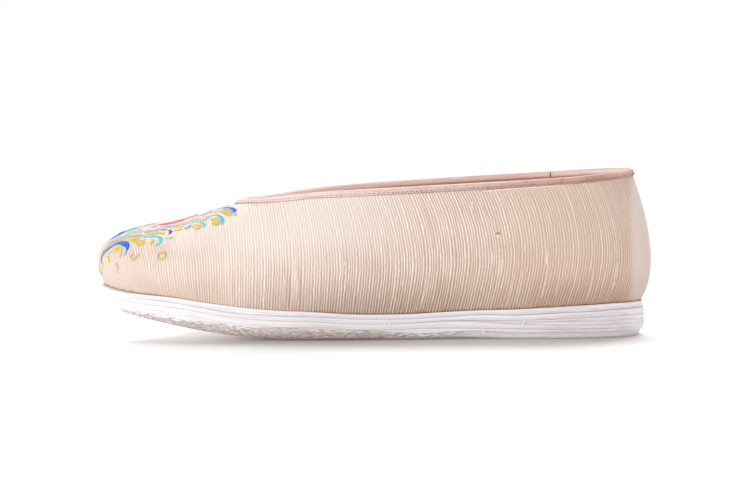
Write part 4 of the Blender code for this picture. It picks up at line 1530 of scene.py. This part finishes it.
def build_layer(level, random):
    """One bound layer: a plate with a nearly flat edge and small chamfers, wandering up, down and out.
    At the toe the upper layers lie flush with each other, and the topmost is bevelled."""
    layer = STACK[level]
    s = layer_places(layer)
    out = EDGE_WANDER * ripple(s, STRIP_ROUND, 0.012, 0.06, 16, random)
    share_round = share_of(outline(s)[:, 0])
    full = thickness(layer, share_round)
    depth = HEEL_CHAMFER + (TOE_CHAMFER - HEEL_CHAMFER) * ramp(share_round, 0.2, 0.75)
    chamfer = np.minimum(CHAMFER_HEIGHT / full, 0.3)
    flat = 0 * full
    toe = ramp(share_round, 0.88, 0.97) * (level > 4)
    flush = layer.inset + (TOE_FLUSH - layer.inset) * toe
    bevel = toe * (level == len(STACK) - 1)
    profile = (
        (flat + 1, depth + TOE_BEVEL * bevel),
        (1 - chamfer - 0.3 * bevel, flat),
        (0.5 - 0.1 * bevel, flat - EDGE_SWELL),
        (chamfer, flat),
        (flat, depth),
    )
    rings = []
    uv = []
    for part_way, inset in profile:
        plan = drawn_in(s, flush + inset - out)
        share = share_of(plan[:, 0])
        under = joint_height(share, level) + joint_wander(level, s)
        top = joint_height(share, level + 1) + joint_wander(level + 1, s)
        rings.append(np.column_stack([plan, under + (top - under) * part_way]))
        round_way = s / ROUND * STRIP_ROUND / MM + STRIP_SHIFT * level
        uv.append(np.column_stack([round_way, (part_way + level) * STRIP_PITCH]))
    piece = add_plate(layer.name + "_strip", rings, uv, WHITE_STRIP)
    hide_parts(layer.name)


def sole_side(pixels):
    """Points of the sole's outer side at pixels of the photograph: nearest column, then its height."""
    s = np.linspace(0.3, 7.7, 3000)
    low, high = (np.column_stack([outline(s), np.full_like(s, level * MM)]) for level in (0, 20))
    low_shown, high_shown = in_picture(low), in_picture(high)
    column = np.array([np.abs(low_shown[:, 0] - pixel[0]).argmin() for pixel in pixels])
    rise = (np.array(pixels)[:, 1] - low_shown[column, 1]) / (high_shown[column, 1] - low_shown[column, 1])
    return low[column] + (high - low)[column] * rise[:, None], outward(outline, s[column])


def square_to(along, vectors):
    """Unit vectors square to along, each the nearest to the given one."""
    return unit(vectors - along * (vectors * along).sum(axis=1, keepdims=True))


def build_strip_joints():
    """Frayed ends where two binding strips meet: short raised white threads across the layers."""
    first, plan = sole_side(JOINT_TOPS)
    last, _ = sole_side(JOINT_FEET)
    along = unit(last - first)
    out = square_to(along, np.column_stack([plan, np.zeros(len(plan))]))
    half = np.linalg.norm(last - first, axis=1) / 2
    centres = (first + last) / 2 + out * 0.1 * MM
    points, faces = beads(centres, along, out, half, JOINT_WIDTH, JOINT_WIDTH, 7, 8)
    add_mesh("strip_joints", points, faces, [WHITE_THREAD])


def outsole_roll(share):
    """How far the outsole's edge is rolled under: more at the ball than at the heel and the toe."""
    roll = HEEL_ROLL + (FORE_ROLL - HEEL_ROLL) * ramp(share, ROLL_BACK, ROLL_BALL)
    return roll + (TOE_ROLL - FORE_ROLL) * ramp(share, ROLL_BALL, ROLL_TOE)


def rolled_edge(s, angle, inset):
    """Points of the outsole's edge on a quarter ellipse, from its upper joint at angle 0 to the floor."""
    plan = drawn_in(s, inset)
    share = share_of(plan[:, 0])
    under = floor_line(share) + TREAD_LIFT
    top = joint_height(share, 1) + joint_wander(1, s)
    return np.column_stack([plan, top + (under - top) * np.sin(angle)])


def build_outsole(random):
    """Outsole: a plate with a rolled edge, lumpy from its stitches, and a flat tread inside it."""
    layer = STACK[0]
    s = np.arange(ROUND * SOLE_STEPS * 2) / (SOLE_STEPS * 2)
    share = share_of(outline(s)[:, 0])
    roll = outsole_roll(share)
    rough = 0.3 + 0.7 * ramp(share, 0.25, 0.55)
    rings = []
    uv = []
    for angle in np.radians(EDGE_ANGLES):
        off_groove = (np.degrees(angle) - GROOVE_ANGLE) / GROOVE_WIDTH
        groove = GROOVE_DEPTH * (1.15 - rough) * np.exp(-(off_groove**2))
        lumps = LUMPS * rough * ripple(s, OUTSOLE_ROUND, 0.003, 0.02, 20, random) * np.cos(angle)
        inset = layer.inset + groove + roll * (1 - np.cos(angle)) - lumps
        rings.append(rolled_edge(s, angle, inset))
        uv.append(np.column_stack([s / ROUND * OUTSOLE_ROUND / MM, 0 * s + angle * EDGE_MM]))
    tread = drawn_in(s, layer.inset + roll + TREAD_RIM)
    rings.append(np.column_stack([tread, floor_line(share_of(tread[:, 0])) + TREAD_LIFT]))
    uv.append(uv[-1])
    piece = add_plate("outsole_cloth", rings, uv, GREY_CLOTH)
    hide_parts("outsole")


def both_sides(first, last, count, random):
    """Random section numbers between two of the outer side, every other one moved to the inner side."""
    s = random.uniform(first, last, count)
    return np.where(np.arange(count) % 2, s, ROUND - s)


def edge_way(s, lean):
    """Unit directions along the sole's outline, leaning up by the given slopes."""
    along = outline(s + STITCH_STEP) - outline(s - STITCH_STEP)
    return unit(np.column_stack([along, lean * np.linalg.norm(along, axis=1)]))


def build_tufts():
    """Loose fibre of the outsole's edge from the arch to the toe: small beads lying along it."""
    random = np.random.default_rng(37)
    s = both_sides(TUFT_START, FIBRE_END, TUFTS, random)
    angle = np.radians(random.uniform(4, 42, len(s)))
    roll = outsole_roll(share_of(outline(s)[:, 0]))
    centres = rolled_edge(s, angle, STACK[0].inset + roll * (1 - np.cos(angle)))
    along = edge_way(s, random.normal(0, 0.25, len(s)))
    up = square_to(along, unit(np.column_stack([outward(outline, s), -np.sin(angle)])))
    length = random.uniform(0.4, 1.3, len(s)) * MM
    width = random.uniform(0.15, 0.34, len(s)) * MM
    points, faces = beads(centres + up * 0.12 * MM, along, up, length, width, 0.3 * MM)
    add_mesh("outsole_tufts", points, faces, [HEMP_THREAD])


def build_fringe():
    """Ragged joint between the outsole and the lowest strip: fine white fibres lying along it."""
    random = np.random.default_rng(41)
    s = both_sides(FRINGE_START, FIBRE_END, FRINGES, random)
    offset = random.uniform(-1.0, 0.55, len(s)) * MM
    plan = drawn_in(s, np.where(offset > 0, STACK[1].inset, STACK[0].inset - 0.3 * MM))
    joint = joint_height(share_of(plan[:, 0]), 1) + joint_wander(1, s)
    centres = np.column_stack([plan, joint + offset])
    along = edge_way(s, random.normal(0.0, 0.2, len(s)))
    out = square_to(along, np.column_stack([outward(outline, s), np.zeros(len(s))]))
    length = random.uniform(0.8, 2.4, len(s)) * MM
    width = random.uniform(0.16, 0.36, len(s)) * MM
    points, faces = beads(centres, along, out, length, width, 0.2 * MM)
    add_mesh("outsole_fringe", points, faces, [WHITE_THREAD])


def build_tread():
    """Hemp stitches through the sole: staggered rows of flat beads over the whole underside."""
    random = np.random.default_rng(31)
    s = np.linspace(0, TOE, 400)
    inset = outsole_roll(share_of(outline(s)[:, 0])) + TREAD_MARGIN
    outer = drawn_in(s, inset)
    inner = drawn_in(ROUND - s, inset)
    columns = np.arange(-118, 122, TREAD_PITCH) * MM
    x, y = np.meshgrid(columns, np.arange(-40, 41, TREAD_ROWS) * MM, indexing="ij")
    x = x + TREAD_PITCH / 2 * MM * (np.arange(x.shape[1]) % 2)
    inside = y < np.interp(x, outer[:, 0], outer[:, 1])
    inside &= y > np.interp(x, inner[:, 0], inner[:, 1])
    x, y = x[inside], y[inside]
    x = x + random.uniform(-0.3, 0.3, len(x)) * MM
    share = share_of(x)
    slope = (floor_line(share + 0.004) - floor_line(share - 0.004)) / (0.008 * SOLE_LENGTH)
    along = unit(np.stack([np.ones_like(x), random.uniform(-0.15, 0.15, len(x)), slope], axis=1))
    down = unit(np.stack([slope, 0 * x, -np.ones_like(x)], axis=1))
    centres = np.stack([x, y, floor_line(share) + 0.22 * MM], axis=1)
    points, faces = beads(centres, along, down, TREAD_LENGTH, TREAD_WIDTH, TREAD_HEIGHT)
    add_mesh("tread_stitches", points, faces, [HEMP_THREAD])


def build_insole():
    """Footbed: a plate with a softly rounded upper edge."""
    s = np.arange(ROUND * INSOLE_STEPS) / INSOLE_STEPS
    rings = []
    uv = []
    for inset, part_way in INSOLE_EDGE:
        plan = drawn_in(s, np.full_like(s, INSOLE_INSET + inset * MM))
        bed = sole_top(share_of(plan[:, 0])) + GAP
        rings.append(np.column_stack([plan, bed + INSOLE * part_way]))
        uv.append(plan / MM)
    piece = add_plate("footbed", rings, uv, FOOTBED)
    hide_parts("insole")


# Stage


SENSOR = 36
FLOOR_HALF = 20


def build_camera():
    """Camera at the photograph's angle."""
    scene = bpy.context.scene
    camera = bpy.data.objects.new("camera", bpy.data.cameras.new("camera"))
    scene.collection.objects.link(camera)
    camera.data.sensor_width = SENSOR
    camera.data.lens = CAMERA_DISTANCE / PIXEL / PICTURE_WIDTH * SENSOR
    camera.data.clip_end = 50
    camera.location = CAMERA_PLACE
    camera.rotation_euler = (np.pi / 2 - CAMERA_ABOVE, 0, np.pi)
    scene.camera = camera


def build_sky():
    """Soft white sky, plain white where the camera sees it."""
    world = bpy.data.worlds.new("soft_sky")
    bpy.context.scene.world = world
    world.use_nodes = True
    graph = Graph(world.node_tree)
    background = world.node_tree.nodes["Background"]
    seen = graph.add("ShaderNodeLightPath").outputs["Is Camera Ray"]
    graph.feed(background.inputs["Color"], graph.blend(seen, (0.43, 0.393, 0.37, 1), (1, 1, 1, 1)))
    background.inputs["Strength"].default_value = 1.0


def add_light(name, kind, place, towards, strength, colour=(1, 1, 1)):
    """A light at a place that shines along a direction."""
    lamp = bpy.data.objects.new(name, bpy.data.lights.new(name, kind))
    STAGE.objects.link(lamp)
    lamp.data.energy = strength
    lamp.data.color = colour
    lamp.location = place
    flat = np.hypot(towards[0], towards[1])
    heading = np.arctan2(towards[1], towards[0]) - np.pi / 2
    lamp.rotation_euler = (np.arctan2(flat, -towards[2]), 0, heading)
    return lamp


# Lights on the floor only, shining straight down: width of the cone in degrees and softness of its rim
SPOT_HEIGHT = 0.6
Spot = namedtuple("Spot", "name x y strength width blend bounces")
FLOOR_SPOTS = (
    Spot("toe_floor_light", 0.15, -0.03, 9.2, 23.5, 1.0, 1024),
    Spot("tip_floor_light", 0.2, -0.03, 18.5, 22.6, 0.35, 0),
    Spot("heel_floor_light", -0.215, 0.08, 4.0, 26.0, 1.0, 1024),
    Spot("side_floor_light", -0.06, 0.125, 2.3, 22.0, 1.0, 1024),
)


def build_shoe_lights():
    """Wide light from above and behind on everything, and lights on the shoe only: from the front, the
    toe, the heel and, weakly, from below."""
    back = add_light("back_light", "SUN", (0, -1, 1), (0.1, 0.6, -0.79), 2.4, (0.93, 1.0, 1.06))
    back.data.angle = np.radians(36)
    front = add_light("front_light", "SUN", (0, 1, 1), (-0.42, -0.9, -0.1), 2.0)
    front.data.angle = np.radians(40)
    heel = add_light("heel_light", "SUN", (-1, 0, 1), (0.95, 0.1, -0.25), 0.5)
    heel.data.angle = np.radians(40)
    toe = add_light("toe_light", "AREA", (1.0, 0.35, 0.12), (-0.94, -0.35, -0.09), 4.6)
    toe.data.shape = "DISK"
    toe.data.size = 0.5
    low = add_light("low_light", "SUN", (0, 0.5, -1), (0.0, -0.08, 0.997), 0.15)
    low.data.angle = np.radians(60)
    low.light_linking.blocker_collection = SHOE
    for lamp in (front, heel, toe, low):
        lamp.light_linking.receiver_collection = SHOE
        lamp.data.cycles.max_bounces = 0


def build_floor_lights():
    """Lights on the floor only, which the shoe doesn't block: a weak one all over, two at the toe and
    past its tip, one behind the heel and one beside the arch."""
    lamps = [add_light("floor_fill", "SUN", (0, 0, 1), (0, 0, -1), 0.24, (1.0, 0.9, 0.85))]
    for spot in FLOOR_SPOTS:
        lamp = add_light(spot.name, "SPOT", (spot.x, spot.y, SPOT_HEIGHT), (0, 0, -1), spot.strength)
        lamp.data.spot_size = np.radians(spot.width)
        lamp.data.spot_blend = spot.blend
        lamp.data.cycles.max_bounces = spot.bounces
        lamps.append(lamp)
    for lamp in lamps:
        lamp.light_linking.receiver_collection = STAGE
        lamp.light_linking.blocker_collection = STAGE


def build_floor():
    """Plain white floor out to the horizon."""
    width = np.linspace(-FLOOR_HALF, FLOOR_HALF, 5)
    x, y = np.meshgrid(width, width, indexing="ij")
    mesh = bpy.data.meshes.new("floor")
    points = np.stack([x, y, 0 * x], axis=-1).reshape(-1, 3)
    mesh.from_pydata(points.tolist(), [], grid_faces(5, 5, False, False)[:, ::-1].tolist())
    white, _, shader = new_material("white_floor", 0.9)
    shader.inputs["Base Color"].default_value = (0.95, 0.95, 0.95, 1)
    mesh.materials.append(white)
    floor = bpy.data.objects.new("floor", mesh)
    STAGE.objects.link(floor)


def main():
    """Builds the stage, then the shoe from the upper down to the sole."""
    bpy.context.scene.view_settings.view_transform = "Standard"
    build_camera()
    build_sky()
    build_shoe_lights()
    build_floor_lights()
    build_floor()
    build_upper()
    build_binding()
    build_topstitch()
    build_tape_join()
    build_edge_shadow_ticks()
    build_hem_cord()
    build_embroidery()
    build_slubs()
    build_slub_lines()
    random = np.random.default_rng(23)
    build_outsole(random)
    for level in range(1, len(STACK)):
        build_layer(level, random)
    build_strip_joints()
    build_tufts()
    build_fringe()
    build_tread()
    build_insole()


main()
